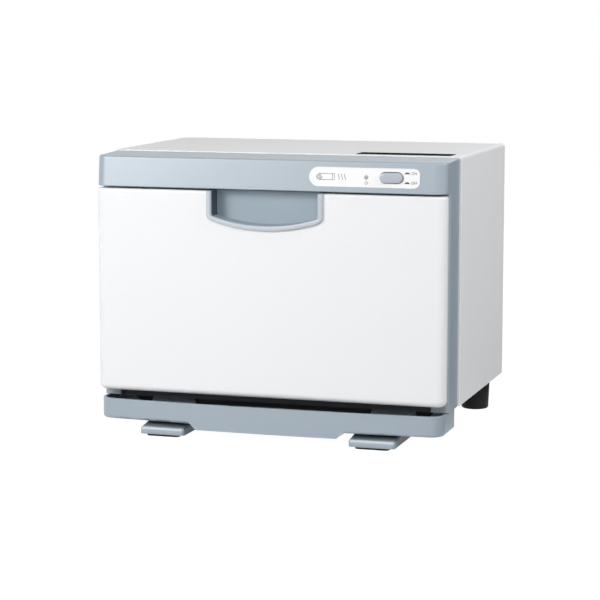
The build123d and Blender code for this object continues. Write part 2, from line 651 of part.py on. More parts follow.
def thermal_fuse():
    """One-shot fuse in a small clip on the back of the tank."""
    face = TANK_BACK + SHEET
    fuse = disc_along_x(FUSE_X - 8, FUSE_X + 8, face + 3, SENSOR_Z, 2.4)
    return fuse + block(FUSE_X - 4, FUSE_X + 4, face, face + 3, SENSOR_Z - 4, SENSOR_Z + 4)


def terminal_block():
    """Screw terminal block on the base pan near the cord gland."""
    base = PAN_BOTTOM + SHEET
    body = block(TERMINAL_X[0] - 6, TERMINAL_X[-1] + 6, 222, 238, base, base + 6)
    for x in TERMINAL_X:
        body += block(x - 4.5, x + 4.5, 223.5, 236.5, base + 6, base + 13)
        body -= disc_along_z(x, 230, base + 9, base + 14, 2.0)
    return body


def wire(points, radius, bend):
    """Wire of a few flats round its section, along straight runs joined by tangent arcs."""
    path = FilletPolyline(*points, radius=bend)
    section = Plane(origin=path @ 0, z_dir=path % 0) * RegularPolygon(radius, WIRE_FLATS)
    return sweep(section, path=path)


def wiring_harness():
    """Three wires: to the lamp, to the switch, and to the thermostat."""
    start_z = PAN_BOTTOM + SHEET + 13
    lamp_start, switch_start, thermostat_start = TERMINAL_X
    to_lamp = wire([(lamp_start, WIRE_Y, start_z), (lamp_start, WIRE_Y, WIRE_TOP),
                    (lamp_start + 30, 130, WIRE_TOP), (LAMP_X, 84, WIRE_TOP),
                    (LAMP_X, LAMP_TAIL_END + WIRE_END_GAP, CONTROL_Z)], WIRE_RADIUS, WIRE_BEND)
    switch_x = BUTTON_X - 6
    to_switch = wire([(switch_start, WIRE_Y, start_z), (switch_start, WIRE_Y, WIRE_TOP),
                      (switch_start + 40, 150, WIRE_TOP), (switch_x, 110, WIRE_TOP),
                      (switch_x, SWITCH_BACK + TAB_LENGTH + WIRE_END_GAP, CONTROL_Z)],
                     WIRE_RADIUS, WIRE_BEND)
    to_thermostat = wire([(thermostat_start, WIRE_Y, start_z), (thermostat_start, WIRE_Y, 90),
                          (20, WIRE_Y, SENSOR_Z - 20),
                          (THERMOSTAT_X - 4, WIRE_Y, SENSOR_Z - 3 - WIRE_END_GAP)],
                         WIRE_RADIUS, WIRE_TIGHT_BEND)
    return Compound(children=[to_switch, to_lamp, to_thermostat])


def cord_gland():
    """Bushing for the supply cord: outer flange, body through the panel and inner nut."""
    gland = disc_along_y(GLAND_X, GLAND_Z, REAR_PANEL_Y, OVERALL_BACK, GLAND_FLANGE_RADIUS)
    outer_rim = [e for e in gland.edges() if abs(e.center().Y - OVERALL_BACK) < 0.01]
    gland = fillet(outer_rim, 1.2)
    gland += disc_along_y(GLAND_X, GLAND_Z, GLAND_INNER_END, REAR_PANEL_Y, GLAND_BODY_RADIUS)
    nut = Plane.XZ * Pos(GLAND_X, GLAND_Z) * RegularPolygon(GLAND_FLANGE_RADIUS, 6)
    gland += Pos(0, REAR_PANEL_Y - SHEET, 0) * extrude(nut, GLAND_NUT_THICKNESS)
    bore_start, bore_end = GLAND_INNER_END - 1, OVERALL_BACK + 1
    return gland - disc_along_y(GLAND_X, GLAND_Z, bore_start, bore_end, GLAND_BORE_RADIUS)


def basket_loop(height):
    """Closed loop of the basket: a rectangle with round corners."""
    middle_y = (BASKET_FRONT + BASKET_BACK) / 2
    outline = RectangleRounded(2 * BASKET_HALF_WIDTH, BASKET_BACK - BASKET_FRONT, BASKET_CORNER)
    path = (Pos(0, middle_y, height) * outline).face().outer_wire()
    section = Plane(origin=path @ 0, z_dir=path % 0) * RegularPolygon(LOOP_WIRE_RADIUS, WIRE_FLATS)
    return sweep(section, path=path)


def basket_rim():
    """Upper loop of the welded wire basket."""
    return basket_loop(BASKET_RIM)


def basket_base_loop():
    """Lower loop of the basket, high enough to clear the tank's round corners."""
    return basket_loop(BASKET_BASE)


def rod(start, end):
    """Straight wire of a few flats between two points."""
    run = Vector(*end) - Vector(*start)
    section = Plane(origin=start, z_dir=run) * RegularPolygon(ROD_RADIUS, WIRE_FLATS)
    return extrude(section, run.length)


def basket_floor_rods():
    """Rods from front to back under the base loop, and cross rods welded on top of them."""
    rod_z = BASKET_BASE - LOOP_WIRE_RADIUS - ROD_RADIUS - WELD_GAP
    rods = []
    for number in range(FLOOR_ROD_COUNT):
        x = (number - (FLOOR_ROD_COUNT - 1) / 2) * ROD_PITCH
        rods.append(rod((x, BASKET_FRONT - 1, rod_z), (x, BASKET_BACK + 1, rod_z)))
    cross_z = rod_z + 2 * ROD_RADIUS + WELD_GAP
    reach = BASKET_HALF_WIDTH - LOOP_WIRE_RADIUS - WELD_GAP
    for y in CROSS_ROD_Y:
        rods.append(rod((-reach, y, cross_z), (reach, y, cross_z)))
    return Compound(children=rods)


def basket_uprights():
    """Upright rods welded inside both loops, half a pitch away from the floor rods."""
    inset = LOOP_WIRE_RADIUS + ROD_RADIUS + WELD_GAP
    low, high = BASKET_BASE - 1, BASKET_RIM + 1
    places = []
    for number in range(FLOOR_ROD_COUNT - 1):
        x = (number - (FLOOR_ROD_COUNT - 2) / 2) * ROD_PITCH
        places += [(x, BASKET_FRONT + inset), (x, BASKET_BACK - inset)]
    for y in SIDE_UPRIGHT_Y:
        places += mirrored([(BASKET_HALF_WIDTH - inset, y)])
    return Compound(children=[rod((x, y, low), (x, y, high)) for x, y in places])


def handle_outline(inset, above=0.0, lift=0.0):
    """Outline of the handle: straight sides, round lower corners and a shallow curved bottom."""
    half = HANDLE_HALF_WIDTH - inset
    low, corner_z = HANDLE_LOWEST + inset + lift, HANDLE_CORNER_Z + inset + lift
    top = DOOR_TOP + above
    edges = [
        Line((-half, top), (-half, corner_z)),
        ThreePointArc((-half, corner_z), (0, low), (half, corner_z)),
        Line((half, corner_z), (half, top)),
        Line((half, top), (-half, top)),
    ]
    face = make_face(edges)
    low_corners = face.vertices().sort_by(Axis.Y)[:2]
    return Pos(HANDLE_X, 0) * fillet(low_corners, HANDLE_CORNER_RADIUS - inset / 2)


def handle_form(inset, y0, y1, taper, extra_top=0.0):
    """Tapering solid between two depths, from the handle's outline drawn in by inset."""
    front = Pos(0, y0, 0) * (Plane.XZ * handle_outline(inset, extra_top))
    back = Pos(0, y1, 0) * (Plane.XZ * handle_outline(inset + taper, extra_top))
    return loft([front, back], ruled=True)


def handle_cup():
    """Scoop-shaped pull: a raised rim round a deep pocket that is open at its top."""
    rim = extrude(Plane.XZ * handle_outline(0.0), HANDLE_PROUD)
    lower_rim = [
        e for e in rim.edges()
        if abs(e.center().Y + HANDLE_PROUD) < 0.01 and e.center().Z < DOOR_TOP - 0.5
    ]
    rim = fillet(lower_rim, 1.8)
    cup = rim + handle_form(HANDLE_RIM - HANDLE_WALL, 0, HANDLE_DEPTH + HANDLE_WALL, HANDLE_TAPER)
    total = HANDLE_DEPTH + HANDLE_PROUD
    sections = [Pos(0, -HANDLE_PROUD - 0.01, 0) * (Plane.XZ * handle_outline(HANDLE_RIM, 2.0))]
    for depth, lift in HANDLE_SCOOP:
        outline = handle_outline(HANDLE_RIM + HANDLE_TAPER * depth, 2.0, lift)
        sections.append(Pos(0, total * depth - HANDLE_PROUD, 0) * (Plane.XZ * outline))
    return cup - loft(sections, ruled=True)


def hinge_clearance(side):
    """Room in the door round the fixed ear of one hinge, over the whole swing."""
    return block(side * (HINGE_EAR_INNER - 0.7), side * (HINGE_EAR_INNER + 4.3),
                 HINGE_Y - HINGE_ROOM, PLUG_BACK + 10, DOOR_BOTTOM - 5, HINGE_Z + HINGE_ROOM)


def door_outer_form(inset, depth):
    """Tray form of the door's skin, moved inwards by inset."""
    face = plan_face(DOOR_HALF_WIDTH - inset, inset, depth, DOOR_CORNER - inset)
    low, high = DOOR_BOTTOM + inset, DOOR_TOP - inset
    form = Pos(0, 0, low) * extrude(face, high - low)
    form = fillet(rim_edges(form, low, depth), DOOR_BOTTOM_EDGE - inset)
    top_edge = max(DOOR_TOP_EDGE - inset, 0.4)
    return fillet(rim_edges(form, high, depth), top_edge)


def door_shell():
    """White door skin, open at the back, with the handle's cut-out in its top edge."""
    shell = door_outer_form(0.0, DOOR_SHELL_DEPTH)
    shell -= door_outer_form(DOOR_WALL, DOOR_SHELL_DEPTH + 5)
    for x, z in DOOR_SCREWS:
        shell += disc_along_y(x, z, DOOR_WALL - 0.5, LINER_FLANGE_FRONT, 3.5)
    shell -= handle_form(HANDLE_RIM - HANDLE_WALL - HANDLE_SEAT_GAP, -1,
                         HANDLE_DEPTH + HANDLE_WALL, 0.0, 5.0)
    for side in SIDES.values():
        shell -= hinge_clearance(side)
        shell -= disc_along_x(side * (HINGE_BOSS_INNER - 0.2), side * HINGE_BOSS_OUTER,
                              HINGE_Y, HINGE_Z, HINGE_BOSS_RADIUS + 0.1)
    return drill_y(shell, DOOR_SCREWS, DOOR_SCREW_TIP, LINER_FLANGE_FRONT + 1)


def door_liner():
    """Inner door moulding: a flange that closes the skin and a hollow plug for the mouth."""
    flange_half = DOOR_HALF_WIDTH - DOOR_WALL - 0.2
    flange_back = DOOR_SHELL_DEPTH - 0.2
    liner = rounded_bar(flange_half, DOOR_BOTTOM + DOOR_WALL + 0.2, DOOR_TOP - DOOR_WALL - 0.2,
                        LINER_FLANGE_FRONT, flange_back, 5.0)
    plug = rounded_bar(PLUG_HALF_WIDTH, PLUG_BOTTOM, PLUG_TOP, LINER_FLANGE_FRONT, PLUG_BACK, PLUG_CORNER)
    plug = fillet([e for e in plug.edges() if abs(e.center().Y - PLUG_BACK) < 0.01], 3.0)
    liner += plug
    hollow = rounded_bar(PLUG_HALF_WIDTH - DOOR_WALL, PLUG_BOTTOM + DOOR_WALL, PLUG_TOP - DOOR_WALL,
                         LINER_FLANGE_FRONT - 1, PLUG_BACK - DOOR_WALL, PLUG_CORNER - DOOR_WALL)
    liner -= hollow
    liner -= handle_form(HANDLE_RIM - HANDLE_WALL - 3 * HANDLE_SEAT_GAP, -1,
                         HANDLE_DEPTH + HANDLE_WALL + 0.3, 0.0, 5.0)
    for side in SIDES.values():
        liner += disc_along_x(side * HINGE_BOSS_INNER, side * HINGE_BOSS_OUTER, HINGE_Y, HINGE_Z,
                              HINGE_BOSS_RADIUS)
        liner -= disc_along_x(side * (HINGE_BOSS_INNER - 2), side * (HINGE_BOSS_OUTER + 1), HINGE_Y,
                              HINGE_Z, HINGE_BUSH_RADIUS)
        liner -= hinge_clearance(side)
    return drill_y(liner, DOOR_SCREWS, LINER_FLANGE_FRONT - 1, flange_back + 1)


def door_insulation():
    """Foam slab in the door, below the handle."""
    return rounded_bar(PLUG_HALF_WIDTH - 5, PLUG_BOTTOM + 5, HANDLE_LOWEST - 3,
                       DOOR_WALL + 0.6, PLUG_BACK - DOOR_WALL - 0.6, 8)


def door_gasket():
    """Soft sealing frame on the back of the plug; it stops just short of the tank's flange."""
    low, high = PLUG_BOTTOM + GASKET_INSET, PLUG_TOP - GASKET_INSET
    half = PLUG_HALF_WIDTH - GASKET_INSET
    outer = rounded_bar(half, low, high, PLUG_BACK, GASKET_BACK, GASKET_CORNER)
    outer = fillet([e for e in outer.edges() if abs(e.center().Y - GASKET_BACK) < 0.01], 2.4)
    return outer - rounded_bar(half - GASKET_WIDTH, low + GASKET_WIDTH, high - GASKET_WIDTH,
                               PLUG_BACK - 1, GASKET_BACK + 1, GASKET_CORNER - GASKET_WIDTH + 1)


def strike_plate(side):
    """Steel plate on the liner that meets the magnet catch."""
    back = DOOR_SHELL_DEPTH - 0.2
    plate = block(side * CATCH_INNER, side * CATCH_OUTER, back, back + STRIKE_THICKNESS,
                  CATCH_BOTTOM + 4, CATCH_TOP - 4)
    return fillet(plate.edges().filter_by(Axis.Y), 1.5)


def magnet_catch(side):
    """Magnet in a small case that plugs into the pillar's front."""
    body = block(side * CATCH_INNER, side * CATCH_OUTER, CATCH_FRONT, PILLAR_FRONT,
                 CATCH_BOTTOM, CATCH_TOP)
    body = fillet(body.edges().filter_by(Axis.Y), 1.5)
    x, z = side * (CATCH_INNER + CATCH_OUTER) / 2, (CATCH_BOTTOM + CATCH_TOP) / 2
    return body + disc_along_y(x, z, PILLAR_FRONT, CATCH_PEG_END, CATCH_PEG_RADIUS)


def hinge_bracket(side):
    """Steel angle: a plate let into the pillar and an ear that carries the hinge pin."""
    plate_back = PILLAR_FRONT + HINGE_PLATE_THICKNESS
    bracket = block(side * HINGE_EAR_INNER, side * HINGE_PLATE_OUTER, PILLAR_FRONT, plate_back,
                    HINGE_PLATE_BOTTOM, HINGE_PLATE_TOP)
    ear_outer = HINGE_EAR_INNER + HINGE_EAR_THICKNESS
    bracket += block(side * HINGE_EAR_INNER, side * ear_outer, HINGE_Y, plate_back,
                     HINGE_Z - HINGE_EAR_RADIUS, HINGE_Z + HINGE_EAR_RADIUS)
    bracket += disc_along_x(side * HINGE_EAR_INNER, side * ear_outer, HINGE_Y, HINGE_Z, HINGE_EAR_RADIUS)
    bracket -= disc_along_x(side * (HINGE_EAR_INNER - 1), side * (ear_outer + 1), HINGE_Y, HINGE_Z,
                            HINGE_PIN_RADIUS)
    places = [place for place in HINGE_SCREWS if place[0] * side > 0]
    bracket = drill_y(bracket, places, PILLAR_FRONT - 1, PILLAR_FRONT + FLUSH_HEAD_HEIGHT,
                      FLUSH_HEAD_RADIUS)
    return drill_y(bracket, places, PILLAR_FRONT, plate_back + 1)


def hinge_pin(side):
    """Pin held in the ear, with a flat head outside; the door turns on its inner length."""
    ear_outer = HINGE_EAR_INNER + HINGE_EAR_THICKNESS
    pin = disc_along_x(side * (HINGE_BOSS_INNER - 0.5), side * ear_outer, HINGE_Y, HINGE_Z,
                       HINGE_PIN_RADIUS)
    return pin + disc_along_x(side * ear_outer, side * (ear_outer + 1.4), HINGE_Y, HINGE_Z, 3.2)


def hinge_bush(side):
    """Plain bush pressed into the liner's boss, running on the pin."""
    bush = disc_along_x(side * HINGE_BOSS_INNER, side * HINGE_BOSS_OUTER, HINGE_Y, HINGE_Z,
                        HINGE_BUSH_RADIUS)
    bore = HINGE_PIN_RADIUS + HINGE_RUNNING_CLEARANCE
    return bush - disc_along_x(side * (HINGE_BOSS_INNER - 1), side * (HINGE_BOSS_OUTER + 1), HINGE_Y,
                               HINGE_Z, bore)


def tray_form(inset, low, end_low, top):
    """Trough form with a bowed front, deep in the middle and shallower towards both ends."""
    face = plan_face(TRAY_HALF_WIDTH - inset, TRAY_FRONT + inset, TRAY_BACK - inset,
                     TRAY_CORNER - inset, TRAY_BOW)
    form = Pos(0, 0, low) * extrude(face, top - low)
    deep = TRAY_DEEP_HALF_WIDTH - inset * 0.4
    for side in (-1, 1):
        step = Polyline((side * deep, low), (side * (deep + end_low - low), end_low),
                        (side * 200, end_low), (side * 200, low - 5), (side * deep, low - 5), close=True)
        form -= extrude(Plane.XZ * make_face(step), 120, both=True)
    return form


def tray_back_cut():
    """What the low back wall leaves out: all above it but two tabs and the ends."""
    line = [(TRAY_TAB_INNER - 2.5, TRAY_BACK_TOP), (TRAY_TAB_INNER, TRAY_TAB_TOP),
            (TRAY_TAB_OUTER, TRAY_TAB_TOP), (TRAY_TAB_OUTER + 2.5, TRAY_BACK_TOP),
            (PILLAR_INNER - 10, TRAY_BACK_TOP), (PILLAR_INNER + 1.2, TRAY_TOP + 0.1)]
    outline = [(-x, z) for x, z in reversed(line)] + line
    face = Plane.XZ * make_face(Polyline(*outline, close=True))
    return Pos(0, TRAY_BACK + 1, 0) * extrude(face, TRAY_WALL + 2)


def drip_tray():
    """Pull-out trough under the door, with two tongues that run in rails below the cabinet."""
    tray = tray_form(0.0, TRAY_BOTTOM, TRAY_END_BOTTOM, TRAY_TOP)
    end_rim = [
        e for e in rim_edges(tray, TRAY_END_BOTTOM, TRAY_BACK)
        if abs(e.center().X) > TRAY_DEEP_HALF_WIDTH + 8
    ]
    tray = fillet(end_rim, TRAY_EDGE)
    tray -= tray_form(TRAY_WALL, TRAY_BOTTOM + TRAY_WALL, TRAY_END_BOTTOM + TRAY_WALL, TRAY_TOP + 5)
    tray -= tray_back_cut()
    for side in SIDES.values():
        tray += block(side * TONGUE_X - TONGUE_WIDTH / 2, side * TONGUE_X + TONGUE_WIDTH / 2,
                      TRAY_BACK - 1, TONGUE_BACK, TONGUE_BOTTOM, TONGUE_TOP)
    return tray


def tray_rail(side):
    """Hat-shaped steel rail under the base pan; the tray's tongue slides in its channel."""
    middle = side * TONGUE_X
    outer = RAIL_HALF_CHANNEL + SHEET
    rail = block(middle - outer, middle + outer, RAIL_FRONT, RAIL_BACK, RAIL_BOTTOM, PAN_BOTTOM)
    rail += block(middle - outer - RAIL_FLANGE, middle + outer + RAIL_FLANGE, RAIL_FRONT, RAIL_BACK,
                  PAN_BOTTOM - SHEET, PAN_BOTTOM)
    rail -= block(middle - RAIL_HALF_CHANNEL, middle + RAIL_HALF_CHANNEL, RAIL_FRONT - 1,
                  RAIL_BACK + 1, RAIL_BOTTOM + SHEET, PAN_BOTTOM + 1)
    places = [place for place in RAIL_SCREWS if place[0] * side > 0]
    return drill_z(rail, places, PAN_BOTTOM - 3, PAN_BOTTOM + 1)


def front_foot(side):
    """Moulded foot: a toe that reaches out under the tray and a hollow post behind it."""
    profile = Polyline(
        (FOOT_FRONT, PAD_HEIGHT),
        (FOOT_BACK, PAD_HEIGHT),
        (FOOT_BACK, PAN_BOTTOM),
        (FOOT_POST_FRONT, PAN_BOTTOM),
        (FOOT_POST_FRONT, FOOT_TOE_REAR_TOP),
        (FOOT_TOE_SLOPE_END, FOOT_TOE_REAR_TOP),
        (FOOT_FRONT, FOOT_TOE_FRONT_TOP),
        close=True,
    )
    foot = extrude(Plane.YZ * make_face(profile), FOOT_OUTER - FOOT_INNER)
    foot = Pos(FOOT_INNER, 0, 0) * foot
    foot = fillet(foot.edges().filter_by(Axis.Z).sort_by(Axis.Y)[:2], 3.4)
    front_top = [
        e for e in foot.edges()
        if e.center().Y < FOOT_FRONT + 3.6 and e.center().Z > FOOT_TOE_FRONT_TOP - 0.6
    ]
    foot = fillet(front_top, FOOT_EDGE)
    foot -= block(FOOT_INNER + FOOT_WALL, FOOT_OUTER - FOOT_WALL, FOOT_POST_FRONT + FOOT_WALL,
                  FOOT_BACK - FOOT_WALL, 0, FOOT_POST_CEILING)
    rib_x = (FOOT_INNER + FOOT_OUTER) / 2
    foot += block(rib_x - 1.2, rib_x + 1.2, FOOT_POST_FRONT + 1, FOOT_BACK - 1,
                  PAD_HEIGHT + 2, FOOT_POST_CEILING + 1)
    for y0, y1 in FOOT_TOE_POCKETS:
        foot -= block(FOOT_INNER + FOOT_WALL, FOOT_OUTER - FOOT_WALL, y0, y1,
                      0, FOOT_TOE_REAR_TOP - FOOT_WALL)
    foot = mirror(foot, about=Plane.YZ) if side < 0 else foot
    places = [place for place in FRONT_FOOT_SCREWS if place[0] * side > 0]
    return drill_z(foot, places, FOOT_POST_CEILING - 1, PAN_BOTTOM + 1)


def front_foot_pad(side):
    """Black rubber pad under the toe."""
    x = side * (FOOT_INNER + FOOT_OUTER) / 2
    pad = block(x - PAD_WIDTH / 2, x + PAD_WIDTH / 2, PAD_FRONT, PAD_BACK, 0, PAD_HEIGHT)
    return fillet(pad.edges().filter_by(Axis.Z), 4.0)


def rear_foot(side):
    """Tapered round foot with a deep counterbore for its screw."""
    profile = Polyline((0, 0), (REAR_FOOT_FLOOR_RADIUS - 1, 0), (REAR_FOOT_FLOOR_RADIUS, 1),
                       (REAR_FOOT_TOP_RADIUS, PAN_BOTTOM), (0, PAN_BOTTOM), close=True)
    foot = revolve(Plane.XZ * make_face(profile), Axis.Z)
    foot -= disc_along_z(0, 0, -1, REAR_FOOT_SEAT, REAR_FOOT_HEAD_RADIUS + 0.9)
    foot -= disc_along_z(0, 0, 10, PAN_BOTTOM + 1, SCREW_HOLE_RADIUS)
    return Pos(side * REAR_FOOT_X, REAR_FOOT_Y, 0) * foot


def screws():
    """Every kind of screw as one group of separate solids."""
    groups = {
        "tank_screws": screws_along_y(TANK_SCREWS, MOUTH_DEPTH_END + SHEET, TANK_SCREW_TIP),
        "bezel_screws": screws_along_y(BEZEL_SCREWS, CASE_FRONT + SHEET, BEZEL_SCREW_TIP),
        "rear_panel_screws": screws_along_y(REAR_SCREWS, CASE_BACK, REAR_SCREW_TIP),
        "door_screws": screws_along_y(DOOR_SCREWS, DOOR_SHELL_DEPTH - 0.2, DOOR_SCREW_TIP),
        "switch_screws": screws_along_y(SWITCH_SCREWS, SWITCH_FLANGE_Y + SWITCH_EAR, SWITCH_SCREW_TIP),
        "base_screws": screws_from_below(BASE_SCREWS, CASE_BOTTOM, PAN_SCREW_TIP),
        "rail_screws": screws_from_below(RAIL_SCREWS, CASE_BOTTOM, PAN_SCREW_TIP),
        "front_foot_screws": screws_from_below(FRONT_FOOT_SCREWS, FOOT_POST_CEILING, FOOT_SCREW_TIP),
        "rear_foot_screws": screws_from_below(REAR_FOOT_SCREWS, REAR_FOOT_SEAT, FOOT_SCREW_TIP,
                                              REAR_FOOT_HEAD_RADIUS),
    }
    head_back = PILLAR_FRONT + FLUSH_HEAD_HEIGHT
    flush = []
    for x, z in HINGE_SCREWS:
        head = disc_along_y(x, z, PILLAR_FRONT, head_back, FLUSH_HEAD_RADIUS)
        flush.append(head + disc_along_y(x, z, head_back, HINGE_SCREW_TIP, SCREW_RADIUS))
    groups["hinge_screws"] = flush
    return {name: Compound(children=solids) for name, solids in groups.items()}


def all_nodes():
    """Every sub-part by its name."""
    single = [
        outer_case, rear_panel, base_pan, front_bezel, control_plate, power_button, power_switch,
        lamp_lens, lamp_holder, inner_tank, sheet_heater, insulation_blanket, thermostat, thermal_fuse,
        terminal_block, wiring_harness, cord_gland, basket_rim, basket_base_loop,
        basket_floor_rods, basket_uprights, door_shell, door_liner, door_insulation,
        door_gasket, handle_cup, drip_tray,
    ]
    nodes = {make.__name__: make() for make in single}
    for make in (strike_plate, magnet_catch, hinge_bracket, hinge_pin, hinge_bush, tray_rail,
                 front_foot, front_foot_pad, rear_foot):
        for name, side in SIDES.items():
            nodes[f"{make.__name__}_{name}"] = make(side)
    nodes.update(screws())
    return nodes


def main():
    """Build every node, centre the part over its origin and write one file for each."""
    os.makedirs("parts", exist_ok=True)
    nodes = all_nodes()
    for name, shape in nodes.items():
        export_step(Pos(0, -CENTRE_Y, 0) * shape, f"parts/{name}.step")
    depth = OVERALL_BACK - OVERALL_FRONT
    print(f"{len(nodes)} nodes, overall depth {depth:.1f}, centre y {CENTRE_Y:.2f}")


if __name__ == "__main__":
    main()
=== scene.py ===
"""Towel warmer: the looks of a small front-opening cabinet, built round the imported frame."""
import json
import logging
import math
from dataclasses import dataclass
from enum import Enum
from typing import Callable, Sequence

import bmesh
import bpy
from mathutils import Matrix, Quaternion, Vector


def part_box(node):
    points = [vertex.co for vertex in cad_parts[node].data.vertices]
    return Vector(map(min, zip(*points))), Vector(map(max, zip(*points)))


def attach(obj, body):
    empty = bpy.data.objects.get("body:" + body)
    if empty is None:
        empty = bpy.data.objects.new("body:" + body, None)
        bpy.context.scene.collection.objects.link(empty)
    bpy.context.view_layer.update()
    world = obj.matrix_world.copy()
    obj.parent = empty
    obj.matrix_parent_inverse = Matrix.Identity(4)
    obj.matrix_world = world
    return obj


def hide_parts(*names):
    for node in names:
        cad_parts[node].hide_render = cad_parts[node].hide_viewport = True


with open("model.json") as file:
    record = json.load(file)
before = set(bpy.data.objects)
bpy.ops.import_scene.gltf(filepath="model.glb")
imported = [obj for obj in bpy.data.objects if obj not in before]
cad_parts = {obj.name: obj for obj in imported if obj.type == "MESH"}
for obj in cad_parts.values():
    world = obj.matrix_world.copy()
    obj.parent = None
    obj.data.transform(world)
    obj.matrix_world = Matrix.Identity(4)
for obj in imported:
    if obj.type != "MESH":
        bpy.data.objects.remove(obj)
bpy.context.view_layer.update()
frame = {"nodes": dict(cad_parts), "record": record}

logging.basicConfig(level=logging.INFO, format="%(message)s")
LOG = logging.getLogger("towel_warmer")

MM = 0.001
MIDDLE_Y = 121.75
MERGE = 2e-6
FACING = 0.95
LEVEL = 0.99
ALONG = 0.999
SIDEWAYS = 0.7
COAT_ROUGH = 0.08
EDGE_PALING_REACH = 0.6 * MM
EDGE_PALING_GAIN = 6.0
# Reach of the ambient occlusion, and the darkest share of the colour, for the painted shade in hollows.
HOLLOW_REACH = 18.0 * MM
HOLLOW_SHADE = 0.1

Tree = bpy.types.NodeTree
Socket = bpy.types.NodeSocket
Piece = bpy.types.Object
Colour = tuple[float, float, float]
Pair = tuple[float, float]


class Body(Enum):
    """The bodies that the pieces made here ride on."""

    CABINET = "cabinet"
    DOOR = "door"
    BUTTON = "button"


class Axis(Enum):
    """The directions that a round primitive can lie along, as its turn about each axis."""

    X = (0.0, math.pi / 2, 0.0)
    Y = (math.pi / 2, 0.0, 0.0)
    Z = (0.0, 0.0, 0.0)


class Pick(Enum):
    """What is selected in edit mode, with the mesh's name for its list."""

    FACE = "faces"
    EDGE = "edges"


class Pattern(Enum):
    """The surface patterns, each a shader node group."""

    MOULDED = "moulded_grain"
    PEEL = "paint_peel"
    BRUSHED = "brushed_lines"
    SPANGLE = "zinc_spangle"
    FELT = "felt_fibres"
    CELLS = "foam_cells"


def at(x: float, y: float, z: float) -> Vector:
    """Turn a place on the maker's drawing into the frame.

    Args:
        x: Millimetres to the right of the middle.
        y: Millimetres behind the face of the door.
        z: Millimetres above the table.

    Returns:
        The place in metres in the frame.
    """
    return Vector((x * MM, (y - MIDDLE_Y) * MM, z * MM))


def feed(tree: Tree, node: bpy.types.Node, inputs: dict[str | int, object]) -> None:
    """Link or set inputs of a node.

    Args:
        tree: The node tree.
        node: The node.
        inputs: A socket or a value for each input's name or number.
    """
    for label, value in inputs.items():
        if isinstance(value, Socket):
            tree.links.new(value, node.inputs[label])
        else:
            node.inputs[label].default_value = value


def shader_node(tree: Tree, kind: str, inputs: dict[str | int, object] | None = None,
                **settings: object) -> bpy.types.Node:
    """Add a shader node.

    Args:
        tree: The node tree.
        kind: The node's type, after the word ShaderNode.
        inputs: A socket or a value for each input that isn't left alone.
        settings: The node's own properties.

    Returns:
        The new node.
    """
    node = tree.nodes.new("ShaderNode" + kind)
    for label, value in settings.items():
        setattr(node, label, value)
    feed(tree, node, inputs or {})
    return node


